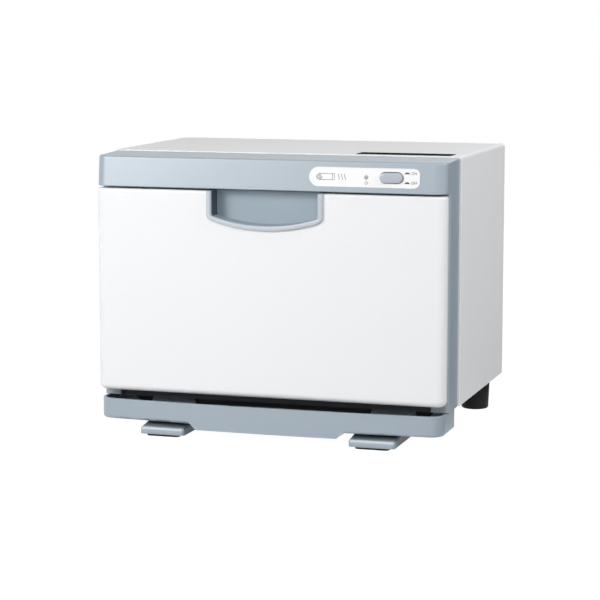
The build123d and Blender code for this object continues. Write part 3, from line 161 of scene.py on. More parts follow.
class NodeGroups:
    """Builds the shader node groups that the finishes share, each once."""

    def __init__(self) -> None:
        """Start with no group built."""
        self.built: dict[str, Tree] = {}

    def start(self, name: str, inputs: dict[str, float], outputs: Sequence[str]) -> tuple:
        """Open a new group with number sockets.

        Args:
            name: The group's name.
            inputs: Each input's name and its default number.
            outputs: The names of the outputs.

        Returns:
            The tree, its input node and its output node.
        """
        tree = bpy.data.node_groups.new(name, "ShaderNodeTree")
        for label, value in inputs.items():
            socket = tree.interface.new_socket(name=label, in_out="INPUT", socket_type="NodeSocketFloat")
            socket.default_value = value
        for label in outputs:
            tree.interface.new_socket(name=label, in_out="OUTPUT", socket_type="NodeSocketFloat")
        self.built[name] = tree
        return tree, tree.nodes.new("NodeGroupInput"), tree.nodes.new("NodeGroupOutput")

    @staticmethod
    def maths(tree: Tree, operation: str, *values: object) -> Socket:
        """Add a Math node on sockets or numbers and return its result."""
        return shader_node(tree, "Math", dict(enumerate(values)), operation=operation).outputs[0]

    @staticmethod
    def noise(tree: Tree, scale: object, detail: float, stretch: Colour = (1.0, 1.0, 1.0)) -> Socket:
        """Add a noise on Object coordinates.

        Args:
            tree: The node tree.
            scale: A socket or number, in waves a metre.
            detail: The noise's octaves.
            stretch: How much the pattern is squeezed along each axis.

        Returns:
            The noise's value, 0 to 1.
        """
        place = shader_node(tree, "TexCoord").outputs["Object"]
        mapping = shader_node(tree, "Mapping", {"Scale": stretch, "Vector": place})
        return shader_node(tree, "TexNoise", {"Detail": detail, "Vector": mapping.outputs["Vector"],
                                              "Scale": scale}).outputs["Fac"]

    @staticmethod
    def cells(tree: Tree, scale: object, feature: str) -> bpy.types.Node:
        """Add a cell pattern on Object coordinates and return its node."""
        place = shader_node(tree, "TexCoord").outputs["Object"]
        return shader_node(tree, "TexVoronoi", {"Vector": place, "Scale": scale}, feature=feature)

    def pattern(self, kind: Pattern) -> Tree:
        """The group of a surface pattern, with a Height and a Tone output.

        Args:
            kind: Which pattern.

        Returns:
            The group's tree.
        """
        if kind.value not in self.built:
            tree, entry, leave = self.start(kind.value, {"Scale": 1000.0}, ("Height", "Tone"))
            height, tone = getattr(self, "_" + kind.name.lower())(tree, entry.outputs["Scale"])
            feed(tree, leave, {"Height": height, "Tone": tone})
        return self.built[kind.value]

    def _moulded(self, tree: Tree, scale: Socket) -> tuple:
        """Spark-eroded plastic: rounded pits over a fine noise."""
        pits = self.cells(tree, scale, "SMOOTH_F1").outputs["Distance"]
        fine = self.noise(tree, scale, 3.0)
        height = self.maths(tree, "ADD", pits, fine)
        return height, self.noise(tree, 9.0, 2.0)

    def _peel(self, tree: Tree, scale: Socket) -> tuple:
        """Baked paint: soft ripples that a lamp picks out only at a low angle."""
        return self.noise(tree, scale, 1.0), self.noise(tree, 6.0, 2.0)

    def _brushed(self, tree: Tree, scale: Socket) -> tuple:
        """Rolled sheet or wire: fine lines along x."""
        lines = self.noise(tree, scale, 2.0, (0.02, 1.0, 1.0))
        return lines, self.noise(tree, scale, 1.0, (0.01, 0.4, 0.4))

    def _spangle(self, tree: Tree, scale: Socket) -> tuple:
        """Hot-dip zinc: flat crystals, each of its own tone."""
        crystals = self.cells(tree, scale, "F1")
        split = shader_node(tree, "SeparateColor", {"Color": crystals.outputs["Color"]})
        return self.noise(tree, scale, 4.0), split.outputs["Red"]

    def _felt(self, tree: Tree, scale: Socket) -> tuple:
        """Needled felt: short fibres laid both ways, with thin and thick patches."""
        one = self.noise(tree, scale, 4.0, (0.15, 1.0, 1.0))
        other = self.noise(tree, scale, 4.0, (1.0, 0.15, 0.6))
        return self.maths(tree, "MAXIMUM", one, other), self.noise(tree, 60.0, 3.0)

    def _cells(self, tree: Tree, scale: Socket) -> tuple:
        """Cut foam: open cells of several sizes."""
        walls = self.cells(tree, scale, "DISTANCE_TO_EDGE").outputs["Distance"]
        return self.maths(tree, "MINIMUM", walls, 0.3), self.noise(tree, 45.0, 3.0)

    def edge_wear(self) -> Tree:
        """The group whose Mask is high along sharp edges, broken up by noise; the paler edges that it gives
        are a painted highlight on the case paint and the bezel.
        """
        if "edge_wear" not in self.built:
            tree, entry, leave = self.start("edge_wear", {"Amount": 0.5, "Breakup": 300.0}, ("Mask",))
            rounded = shader_node(tree, "Bevel", {"Radius": EDGE_PALING_REACH}, samples=4).outputs["Normal"]
            plain = shader_node(tree, "NewGeometry").outputs["Normal"]
            compare = shader_node(tree, "VectorMath", {0: rounded, 1: plain}, operation="DOT_PRODUCT")
            turned = self.maths(tree, "SUBTRACT", 1.0, compare.outputs["Value"])
            strong = self.maths(tree, "MULTIPLY", turned, EDGE_PALING_GAIN)
            broken = self.maths(tree, "MULTIPLY", strong, self.noise(tree, entry.outputs["Breakup"], 3.0))
            mask = self.maths(tree, "MULTIPLY", broken, entry.outputs["Amount"])
            feed(tree, leave, {"Mask": self.maths(tree, "MINIMUM", mask, 1.0)})
        return self.built["edge_wear"]


GROUPS = NodeGroups()


@dataclass(frozen=True)
class Finish:
    """One finish: its colours, gloss and surface pattern.

    Attributes:
        name: The material's name.
        slot: The record's material slot that it belongs to.
        colour: Main colour, linear.
        tint: Colour in the pattern's darker or paler patches, linear.
        pattern: Surface pattern.
        scale: Size of the pattern, in cells or waves a metre.
        depth: Depth of the pattern's relief in metres.
        relief: How strongly the relief turns the normal, 0 to 1.
        rough: Lowest and highest roughness.
        metal: Metallic.
        gloss: Specular level.
        coat: Clear coat's weight.
        edge_paling: How far its sharp edges pale, 0 for none; on the case paint and the bezel this is a
            painted highlight.
        edge_pale_colour: Colour that its sharp edges pale towards.
        clear: Transmission weight.
        sheen: Sheen weight.
        painted_hollow_shade: How much painted shade, from ambient occlusion, darkens its colour in corners
            and hollows, 0 to 1.
    """

    name: str
    slot: str
    colour: Colour
    tint: Colour
    pattern: Pattern
    scale: float
    depth: float
    relief: float
    rough: Pair
    metal: float = 0.0
    gloss: float = 0.5
    coat: float = 0.0
    edge_paling: float = 0.0
    edge_pale_colour: Colour = (0.9, 0.9, 0.9)
    clear: float = 0.0
    sheen: float = 0.0
    painted_hollow_shade: float = 0.0

    def material(self) -> bpy.types.Material:
        """Build the material, or return it if it is there already."""
        found = bpy.data.materials.get(self.name)
        if found:
            return found
        made = bpy.data.materials.new(self.name)
        made.use_nodes = True
        tree = made.node_tree
        surface = shader_node(tree, "Group", {"Scale": self.scale}, node_tree=GROUPS.pattern(self.pattern))
        tone = surface.outputs["Tone"]
        colour = self.mix(tree, tone, self.colour, self.tint)
        # Sharp edges pale towards their edge colour; on the case paint and the bezel this is a painted
        # highlight.
        if self.edge_paling > 0:
            edges = shader_node(tree, "Group", {"Amount": self.edge_paling}, node_tree=GROUPS.edge_wear())
            colour = self.mix(tree, edges.outputs["Mask"], colour, self.edge_pale_colour)
        # Painted shade: ambient occlusion darkens the colour in corners, in hollows and under things, where
        # shade falls.
        if self.painted_hollow_shade > 0:
            hollow = shader_node(tree, "AmbientOcclusion", {"Distance": HOLLOW_REACH}, samples=8)
            open_part = GROUPS.maths(tree, "POWER", hollow.outputs["AO"], 2.0)
            closed_part = GROUPS.maths(tree, "SUBTRACT", 1.0, open_part)
            shade = GROUPS.maths(tree, "MULTIPLY", closed_part, self.painted_hollow_shade)
            colour = self.mix(tree, shade, colour, tuple(HOLLOW_SHADE * part for part in self.colour))
        low, high = self.rough
        spread = shader_node(tree, "MapRange", {"To Min": low, "To Max": high, "Value": tone})
        bump = shader_node(tree, "Bump", {"Strength": self.relief, "Distance": self.depth,
                                          "Height": surface.outputs["Height"]})
        feed(tree, tree.nodes["Principled BSDF"], {
            "Metallic": self.metal, "Specular IOR Level": self.gloss, "Coat Weight": self.coat,
            "Coat Roughness": COAT_ROUGH, "Transmission Weight": self.clear, "Sheen Weight": self.sheen,
            "Base Color": colour, "Roughness": spread.outputs["Result"], "Normal": bump.outputs["Normal"]})
        return made

    @staticmethod
    def mix(tree: Tree, factor: Socket, first: object, second: Colour) -> Socket:
        """Mix two colours.

        Args:
            tree: The node tree.
            factor: How much of the second.
            first: A colour or a colour socket.
            second: A colour.

        Returns:
            The mixed colour's socket.
        """
        start = (*first, 1.0) if isinstance(first, tuple) else first
        return shader_node(tree, "Mix", {"Factor": factor, "A": start, "B": (*second, 1.0)},
                           data_type="RGBA").outputs["Result"]


# Case paint: its paler edges are a painted highlight, standing in for the light caught by the folded front
# edge and the bends.
CASE_PAINT = Finish(
    "case_white_paint", "white_paint", (0.87, 0.875, 0.885), (0.84, 0.846, 0.858), Pattern.PEEL, 700.0,
    0.00006, 0.25, (0.34, 0.42), gloss=0.15, edge_paling=0.9, edge_pale_colour=(0.98, 0.98, 0.985))
# Handle rim: a satin gloss, in a paler copy of the handle's grey that is painted light where the rim catches
# the lamps.
HANDLE_RIM_LIT = Finish(
    "handle_rim_satin", "bezel_grey", (0.53, 0.575, 0.62), (0.51, 0.555, 0.60), Pattern.PEEL, 900.0,
    0.00002, 0.15, (0.30, 0.36), gloss=0.7)
HANDLE_GREY = Finish(
    "handle_blue_grey", "bezel_grey", (0.37, 0.442, 0.50), (0.355, 0.427, 0.485), Pattern.MOULDED, 1500.0,
    0.00003, 0.18, (0.40, 0.46), gloss=0.15)
# Pocket side walls: a dark copy of the handle's grey, painted shade where the walls lie in shadow.
HANDLE_SHADE = Finish(
    "handle_wall_grey", "bezel_grey", (0.095, 0.113, 0.138), (0.085, 0.103, 0.128), Pattern.MOULDED, 1500.0,
    0.00003, 0.18, (0.44, 0.52), gloss=0.1)
# Front feet: a pale grey that painted shade darkens in their corners and where the tray hangs over them.
FOOT_GREY = Finish(
    "foot_blue_grey", "bezel_grey", (0.73, 0.82, 0.90), (0.71, 0.80, 0.88), Pattern.MOULDED, 1500.0,
    0.00003, 0.18, (0.40, 0.46), gloss=0.15, painted_hollow_shade=0.88)
DOOR_GLOSS = Finish(
    "door_white_gloss", "white_gloss", (0.885, 0.89, 0.905), (0.87, 0.876, 0.893), Pattern.PEEL, 260.0,
    0.00004, 0.12, (0.20, 0.26), gloss=0.5)
# Bezel: its paler edges are a painted highlight, standing in for the light caught by the rounded edges of
# the header, pillars and tray.
BEZEL_GREY = Finish(
    "bezel_blue_grey", "bezel_grey", (0.335, 0.398, 0.455), (0.318, 0.382, 0.440), Pattern.MOULDED, 1500.0,
    0.00003, 0.18, (0.33, 0.39), gloss=1.0, edge_paling=0.8, edge_pale_colour=(0.66, 0.71, 0.76))
PLATE_WHITE = Finish(
    "plate_white", "plate_white", (0.88, 0.88, 0.885), (0.86, 0.86, 0.868), Pattern.PEEL, 400.0, 0.00002,
    0.1, (0.2, 0.26))
BUTTON_SILVER = Finish(
    "button_silver_grey", "bezel_grey", (0.47, 0.515, 0.56), (0.45, 0.497, 0.545), Pattern.MOULDED, 2600.0,
    0.00002, 0.12, (0.20, 0.26), coat=0.3)
FOOT_BLACK = Finish(
    "foot_black_plastic", "black_plastic", (0.008, 0.008, 0.009), (0.013, 0.013, 0.015), Pattern.MOULDED,
    1100.0, 0.0001, 0.4, (0.45, 0.58), gloss=0.2)
PAD_RUBBER = Finish(
    "pad_black_rubber", "rubber_black", (0.012, 0.012, 0.013), (0.020, 0.020, 0.022), Pattern.MOULDED,
    900.0, 0.00015, 0.5, (0.62, 0.78), gloss=0.25)
DARK_SHEET = Finish(
    "pan_dark_paint", "dark_sheet", (0.030, 0.031, 0.035), (0.040, 0.041, 0.046), Pattern.PEEL, 800.0,
    0.00008, 0.35, (0.40, 0.52), edge_paling=0.25, edge_pale_colour=(0.20, 0.20, 0.21))
ZINC = Finish(
    "bracket_zinc", "zinc_sheet", (0.50, 0.51, 0.53), (0.64, 0.65, 0.67), Pattern.SPANGLE, 260.0, 0.00003,
    0.3, (0.28, 0.46), metal=1.0, edge_paling=0.3)
TANK_ALUMINIUM = Finish(
    "tank_aluminium", "tank_aluminium", (0.72, 0.73, 0.74), (0.80, 0.81, 0.82), Pattern.BRUSHED, 2400.0,
    0.00003, 0.25, (0.30, 0.44), metal=1.0)
BASKET_CHROME = Finish(
    "basket_chrome", "wire_chrome", (0.76, 0.76, 0.78), (0.66, 0.66, 0.69), Pattern.PEEL, 900.0, 0.00002,
    0.2, (0.08, 0.18), metal=1.0)
LINER_WHITE = Finish(
    "liner_white_plastic", "liner_white", (0.80, 0.81, 0.825), (0.775, 0.785, 0.80), Pattern.MOULDED,
    1200.0, 0.00005, 0.25, (0.36, 0.46))
SEAL_SILICONE = Finish(
    "seal_grey_silicone", "silicone_grey", (0.36, 0.37, 0.39), (0.42, 0.43, 0.45), Pattern.MOULDED, 700.0,
    0.00008, 0.3, (0.50, 0.62), gloss=0.4, sheen=0.15)
HEATER_FOIL = Finish(
    "heater_foil", "foil_heater", (0.66, 0.64, 0.60), (0.78, 0.76, 0.72), Pattern.BRUSHED, 900.0, 0.00025,
    0.6, (0.29, 0.44), metal=1.0)
BLANKET_FELT = Finish(
    "blanket_felt", "felt", (0.70, 0.68, 0.61), (0.86, 0.84, 0.78), Pattern.FELT, 1400.0, 0.0006, 0.9,
    (0.86, 0.96), gloss=0.1, sheen=0.4)
DOOR_FOAM = Finish(
    "door_foam", "foam", (0.80, 0.76, 0.60), (0.90, 0.87, 0.74), Pattern.CELLS, 900.0, 0.0008, 0.9,
    (0.88, 0.96), gloss=0.1, sheen=0.2)
LAMP_LENS = Finish(
    "lamp_lens", "lens_clear", (0.46, 0.45, 0.445), (0.54, 0.53, 0.525), Pattern.CELLS, 2600.0, 0.00005,
    0.3, (0.10, 0.16), coat=0.5, clear=0.25)
SCREW_STEEL = Finish(
    "screw_bright_zinc", "screw_steel", (0.56, 0.57, 0.59), (0.66, 0.67, 0.69), Pattern.BRUSHED, 5200.0,
    0.00002, 0.3, (0.28, 0.38), metal=1.0, edge_paling=0.3)
PIN_STEEL = Finish(
    "pin_ground_steel", "pin_steel", (0.60, 0.61, 0.63), (0.68, 0.69, 0.71), Pattern.BRUSHED, 6000.0,
    0.00001, 0.25, (0.14, 0.24), metal=1.0)
PHENOLIC = Finish(
    "thermostat_phenolic", "brown_phenolic", (0.07, 0.032, 0.018), (0.11, 0.055, 0.032), Pattern.MOULDED,
    1600.0, 0.00006, 0.3, (0.36, 0.50))
NYLON = Finish(
    "nylon_natural", "nylon", (0.78, 0.76, 0.69), (0.84, 0.82, 0.76), Pattern.MOULDED, 1300.0, 0.00005, 0.3,
    (0.34, 0.46))
WIRE_SLEEVE = Finish(
    "wire_sleeve", "wire_insulation", (0.62, 0.61, 0.57), (0.70, 0.69, 0.65), Pattern.PEEL, 1500.0, 0.00005,
    0.3, (0.42, 0.54))
FILM_DARK = Finish(
    "film_dark", "black_plastic", (0.030, 0.034, 0.042), (0.038, 0.042, 0.050), Pattern.PEEL, 500.0,
    0.00002, 0.15, (0.60, 0.70), gloss=0.0)
INK_DARK = Finish(
    "ink_dark", "black_plastic", (0.018, 0.018, 0.020), (0.028, 0.028, 0.031), Pattern.PEEL, 1500.0,
    0.00001, 0.1, (0.40, 0.50))
INK_GREY = Finish(
    "ink_grey", "black_plastic", (0.06, 0.06, 0.066), (0.08, 0.08, 0.088), Pattern.PEEL, 1500.0, 0.00001,
    0.1, (0.40, 0.50))

CAD_FINISH = {finish.slot: finish for finish in (
    CASE_PAINT, DOOR_GLOSS, BEZEL_GREY, PLATE_WHITE, FOOT_BLACK, DARK_SHEET, ZINC, TANK_ALUMINIUM,
    BASKET_CHROME, LINER_WHITE, SEAL_SILICONE, PAD_RUBBER, HEATER_FOIL, BLANKET_FELT, DOOR_FOAM,
    LAMP_LENS, SCREW_STEEL, PIN_STEEL, PHENOLIC, NYLON, WIRE_SLEEVE)}
NODE_FINISH = {"front_foot_left": FOOT_GREY, "front_foot_right": FOOT_GREY}


def dress_frame() -> None:
    """Give every CAD node its own finish, or else that of its slot."""
    for part in frame["record"]["subparts"]:
        node = frame["nodes"][part["node"]]
        finish = NODE_FINISH.get(part["node"], CAD_FINISH[part["material_slot"]])
        node.data.materials.clear()
        node.data.materials.append(finish.material())
        LOG.info("frame node %s: %s", part["node"], finish.name)


class Edit:
    """Edit mode on one piece, with faces and edges picked by their place."""

    def __init__(self, piece: Piece) -> None:
        """Take the piece to edit."""
        self.piece = piece

    def __enter__(self) -> "Edit":
        """Go into edit mode with nothing selected."""
        Bench.only(self.piece)
        bpy.ops.object.mode_set(mode="EDIT")
        bpy.ops.mesh.select_all(action="DESELECT")
        return self

    def __exit__(self, *problem: object) -> None:
        """Go back to object mode."""
        bpy.ops.object.mode_set(mode="OBJECT")

    def pick(self, kind: Pick, test: Callable[[object], bool]) -> None:
        """Select what passes the test and nothing else.

        Args:
            kind: Faces or edges.
            test: Says of each whether it is wanted.
        """
        bpy.ops.mesh.select_mode(type=kind.name)
        bpy.ops.mesh.select_all(action="DESELECT")
        mesh = bmesh.from_edit_mesh(self.piece.data)
        mesh.normal_update()
        wanted = [item for item in getattr(mesh, kind.value) if test(item)]
        if not wanted:
            raise ValueError(f"nothing to pick on {self.piece.name}")
        for item in wanted:
            item.select_set(True)
        bmesh.update_edit_mesh(self.piece.data)

    def faces(self, towards: Sequence[float], place: float | None = None) -> None:
        """Select the faces that look one way.

        Args:
            towards: The direction, along one axis.
            place: Where along that axis they lie, in metres, or None for anywhere.
        """
        way = Vector(towards)
        axis = max(range(3), key=lambda index: abs(way[index]))
        self.pick(Pick.FACE, lambda face: face.normal.dot(way) > FACING and (
            place is None or abs(face.calc_center_median()[axis] - place) < MERGE))

    def edges(self, axis: int) -> None:
        """Select the edges that run along an axis, 0 for x, 1 for y or 2 for z."""
        def wanted(edge: bmesh.types.BMEdge) -> bool:
            """Whether this edge runs that way."""
            start, end = (vert.co for vert in edge.verts)
            return abs((end - start).normalized()[axis]) > ALONG

        self.pick(Pick.EDGE, wanted)

    def round_rim(self, axis: int, place: float, width: float, segments: int) -> None:
        """Bevel the outer edges of a face that lies across an axis.

        Args:
            axis: 0 for x, 1 for y, 2 for z.
            place: Where the face is, in metres.
            width: The bevel's width in millimetres.
            segments: The bevel's number of steps.
        """
        def wanted(edge: bmesh.types.BMEdge) -> bool:
            """Whether both ends are in the plane and one face isn't."""
            flat = all(abs(vert.co[axis] - place) < MERGE for vert in edge.verts)
            return flat and sum(abs(face.normal[axis]) > LEVEL for face in edge.link_faces) < 2

        self.pick(Pick.EDGE, wanted)
        self.bevel(width, segments)

    def ring(self, width: float) -> None:
        """Turn a plate that lies across y into a ring.

        Args:
            width: The ring's width in millimetres.
        """
        self.pick(Pick.FACE, lambda face: abs(face.normal.y) > LEVEL)
        self.inset(width)
        bpy.ops.mesh.delete(type="FACE")
        self.pick(Pick.EDGE, lambda edge: edge.is_boundary)
        bpy.ops.mesh.bridge_edge_loops()

    def extrude(self, y: float = 0.0, z: float = 0.0) -> None:
        """Extrude what is selected, by millimetres."""
        move = Vector((0.0, y, z)) * MM
        bpy.ops.mesh.extrude_region_move(TRANSFORM_OT_translate={"value": move})

    def inset(self, width: float, depth: float = 0.0, apart: bool = False) -> None:
        """Inset the selected faces, by millimetres."""
        bpy.ops.mesh.inset(thickness=width * MM, depth=depth * MM, use_individual=apart)

    def bevel(self, width: float, segments: int) -> None:
        """Bevel the selected edges, by millimetres."""
        bpy.ops.mesh.bevel(offset=width * MM, segments=segments, affect="EDGES")

    def resize(self, scale: Sequence[float], centre: Vector) -> None:
        """Scale what is selected about a point."""
        bpy.ops.transform.resize(value=scale, center_override=centre)

    def cut(self, place: Vector, normal: Sequence[float], drop: bool = False) -> None:
        """Cut the whole piece along a plane, and drop what lies beyond it if asked."""
        bpy.ops.mesh.select_all(action="SELECT")
        bpy.ops.mesh.bisect(plane_co=place, plane_no=normal, use_fill=drop, clear_outer=drop)

    def tidy(self) -> None:
        """Merge doubles and turn every face outwards."""
        bpy.ops.mesh.select_all(action="SELECT")
        bpy.ops.mesh.remove_doubles(threshold=MERGE)
        bpy.ops.mesh.normals_make_consistent(inside=False)


class Bench:
    """Adds primitives at their size and place, and hands over finished pieces."""

    made: list[str] = []

    @staticmethod
    def only(piece: Piece) -> None:
        """Make this piece the only one selected."""
        bpy.ops.object.select_all(action="DESELECT")
        piece.select_set(True)
        bpy.context.view_layer.objects.active = piece

    @staticmethod
    def named(name: str) -> Piece:
        """Name the new primitive and put its place into its mesh.

        Args:
            name: The name.

        Returns:
            The primitive.
        """
        piece = bpy.context.object
        piece.name = piece.data.name = name
        bpy.ops.object.transform_apply(location=True, rotation=True, scale=True)
        return piece

    @classmethod
    def block(cls, name: str, low: Vector, high: Vector) -> Piece:
        """Add a box between two corners."""
        bpy.ops.mesh.primitive_cube_add(size=1.0, location=(low + high) / 2, scale=high - low)
        return cls.named(name)

    @classmethod
    def drum(cls, name: str, centre: Vector, radius: float, length: float, axis: Axis,
             sides: int) -> Piece:
        """Add a round bar.

        Args:
            name: The piece's name.
            centre: Its middle, in metres.
            radius: Radius in millimetres.
            length: Length in millimetres.
            axis: The way that it lies.
            sides: Number of flats round it.

        Returns:
            The new object.
        """
        bpy.ops.mesh.primitive_cylinder_add(vertices=sides, radius=radius * MM, depth=length * MM,
                                            location=centre, rotation=axis.value)
        return cls.named(name)

    @classmethod
    def chain(cls, name: str, route: Sequence[Vector]) -> Piece:
        """Draw a chain of edges, one extruded point after another.

        Args:
            name: The piece's name.
            route: The chain's points, in metres.

        Returns:
            The new object, which has no faces yet.
        """
        bpy.ops.mesh.primitive_plane_add(size=MM)
        piece = cls.named(name)
        with Edit(piece):
            bpy.ops.mesh.select_mode(type="VERT")
            bpy.ops.mesh.select_all(action="SELECT")
            bpy.ops.mesh.merge(type="CENTER")
            bpy.ops.transform.translate(value=route[0])
            for spot, goal in zip(route, route[1:]):
                bpy.ops.mesh.extrude_vertices_move(TRANSFORM_OT_translate={"value": goal - spot})
        return piece

    @classmethod
    def sheet(cls, name: str, outline: Sequence[Vector], depth: float) -> Piece:
        """Fill a flat outline and extrude it along y.

        Args:
            name: The piece's name.
            outline: The outline's corners, in metres.
            depth: How far it is extruded, in millimetres.

        Returns:
            The closed plate.
        """
        piece = cls.chain(name, outline)
        with Edit(piece) as edit:
            bpy.ops.mesh.select_all(action="SELECT")
            bpy.ops.mesh.edge_face_add()
            edit.extrude(y=depth)
            edit.tidy()
        return piece

    @classmethod
    def turned(cls, name: str, profile: Sequence[Pair], steps: int) -> Piece:
        """Spin a profile round the z axis at the origin.

        Args:
            name: The piece's name.
            profile: Radius and height of each point, in millimetres, starting and ending on the axis.
            steps: Number of flats round it.

        Returns:
            The closed, turned piece.
        """
        piece = cls.chain(name, [Vector((radius, 0.0, height)) * MM for radius, height in profile])
        with Edit(piece):
            bpy.ops.mesh.select_all(action="SELECT")
            bpy.ops.mesh.spin(steps=steps, angle=2 * math.pi, center=(0.0, 0.0, 0.0), axis=(0.0, 0.0, 1.0))
            bpy.ops.mesh.select_all(action="SELECT")
            bpy.ops.mesh.remove_doubles(threshold=MERGE)
        return piece

    @classmethod
    def tube(cls, name: str, route: Sequence[Vector], radius: float, closed: bool = False,
             flats: int = 3) -> Piece:
        """Bend round wire along a route.

        Args:
            name: The piece's name.
            route: Points of its middle line, in metres.
            radius: Radius in millimetres.
            closed: Whether its ends meet.
            flats: Resolution of its roundness.

        Returns:
            The wire as a mesh.
        """
        curve = bpy.data.curves.new(name, "CURVE")
        curve.dimensions = "3D"
        curve.bevel_depth, curve.bevel_resolution = radius * MM, flats
        curve.use_fill_caps = not closed
        spline = curve.splines.new("POLY")
        spline.points.add(len(route) - 1)
        for point, place in zip(spline.points, route):
            point.co = (*place, 1.0)
        spline.use_cyclic_u = closed
        piece = bpy.data.objects.new(name, curve)
        bpy.context.scene.collection.objects.link(piece)
        cls.only(piece)
        bpy.ops.object.convert(target="MESH")
        return bpy.context.object

    @classmethod
    def modifier(cls, piece: Piece, kind: str, **settings: object) -> None:
        """Add a modifier and apply it.

        Args:
            piece: The piece that gets it.
            kind: The modifier's type.
            settings: Its settings.
        """
        cls.only(piece)
        bpy.ops.object.modifier_add(type=kind)
        added = piece.modifiers[-1]
        for label, value in settings.items():
            setattr(added, label, value)
        bpy.ops.object.modifier_apply(modifier=added.name)

    @staticmethod
    def copy(piece: Piece, name: str, place: Matrix) -> Piece:
        """Copy a piece, with its own mesh, to another place.

        Args:
            piece: The piece.
            name: The copy's name.
            place: Where the copy goes.

        Returns:
            The copy.
        """
        twin = piece.copy()
        twin.data = piece.data.copy()
        twin.name = twin.data.name = name
        twin.data.transform(place)
        bpy.context.scene.collection.objects.link(twin)
        return twin

    @classmethod
    def join(cls, name: str, pieces: Sequence[Piece]) -> Piece:
        """Join pieces into one object.

        Args:
            name: The object's name.
            pieces: The pieces, in order.

        Returns:
            The joined object.
        """
        cls.only(pieces[0])
        for piece in pieces:
            piece.select_set(True)
        bpy.ops.object.join()
        joined = bpy.context.object
        joined.name = joined.data.name = name
        return joined

    @classmethod
    def hand_over(cls, piece: Piece, body: Body, finish: Finish, *nodes: str,
                  angle: float = 35.0, merge: bool = True) -> Piece:
        """Tidy, smooth and dress a finished piece and let it ride on its body.

        Args:
            piece: The finished piece.
            body: The body that it moves with.
            finish: Its finish.
            nodes: The frame nodes that it stands for.
            angle: Edges sharper than this stay sharp, in degrees.
            merge: Whether its mesh still needs its doubles merged.

        Returns:
            The piece.
        """
        if merge:
            with Edit(piece) as edit:
                edit.tidy()
        cls.only(piece)
        bpy.ops.object.shade_smooth_by_angle(angle=math.radians(angle))
        piece.data.materials.clear()
        piece.data.materials.append(finish.material())
        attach(piece, body.value)
        if nodes:
            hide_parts(*nodes)
        cls.made.append(piece.name)
        LOG.info("piece %s: %s on the %s, %d faces", piece.name, finish.name, body.value,
                 len(piece.data.polygons))
        return piece


def rounded_route(corners: Sequence[Vector], radius: float, closed: bool, steps: int = 6) -> list[Vector]:
    """Round the corners of a route of straight runs.

    Args:
        corners: The route's corners, in metres.
        radius: Radius of each bend in millimetres.
        closed: Whether the last run goes back to the first corner.
        steps: Number of pieces that each bend is made of.

    Returns:
        The points of the smooth route.
    """
    count = len(corners)
    route: list[Vector] = []
    for index, corner in enumerate(corners):
        if not closed and index in (0, count - 1):
            route.append(corner.copy())
            continue
        back = (corners[index - 1] - corner).normalized()
        ahead = (corners[(index + 1) % count] - corner).normalized()
        half = back.angle(ahead) / 2
        start = corner + back * (radius * MM / math.tan(half))
        centre = corner + (back + ahead).normalized() * (radius * MM / math.sin(half))
        turn = (start - centre).rotation_difference(corner + ahead * (radius * MM / math.tan(half)) - centre)
        for step in range(steps + 1):
            route.append(centre + Quaternion(turn.axis, turn.angle * step / steps) @ (start - centre))
    return route


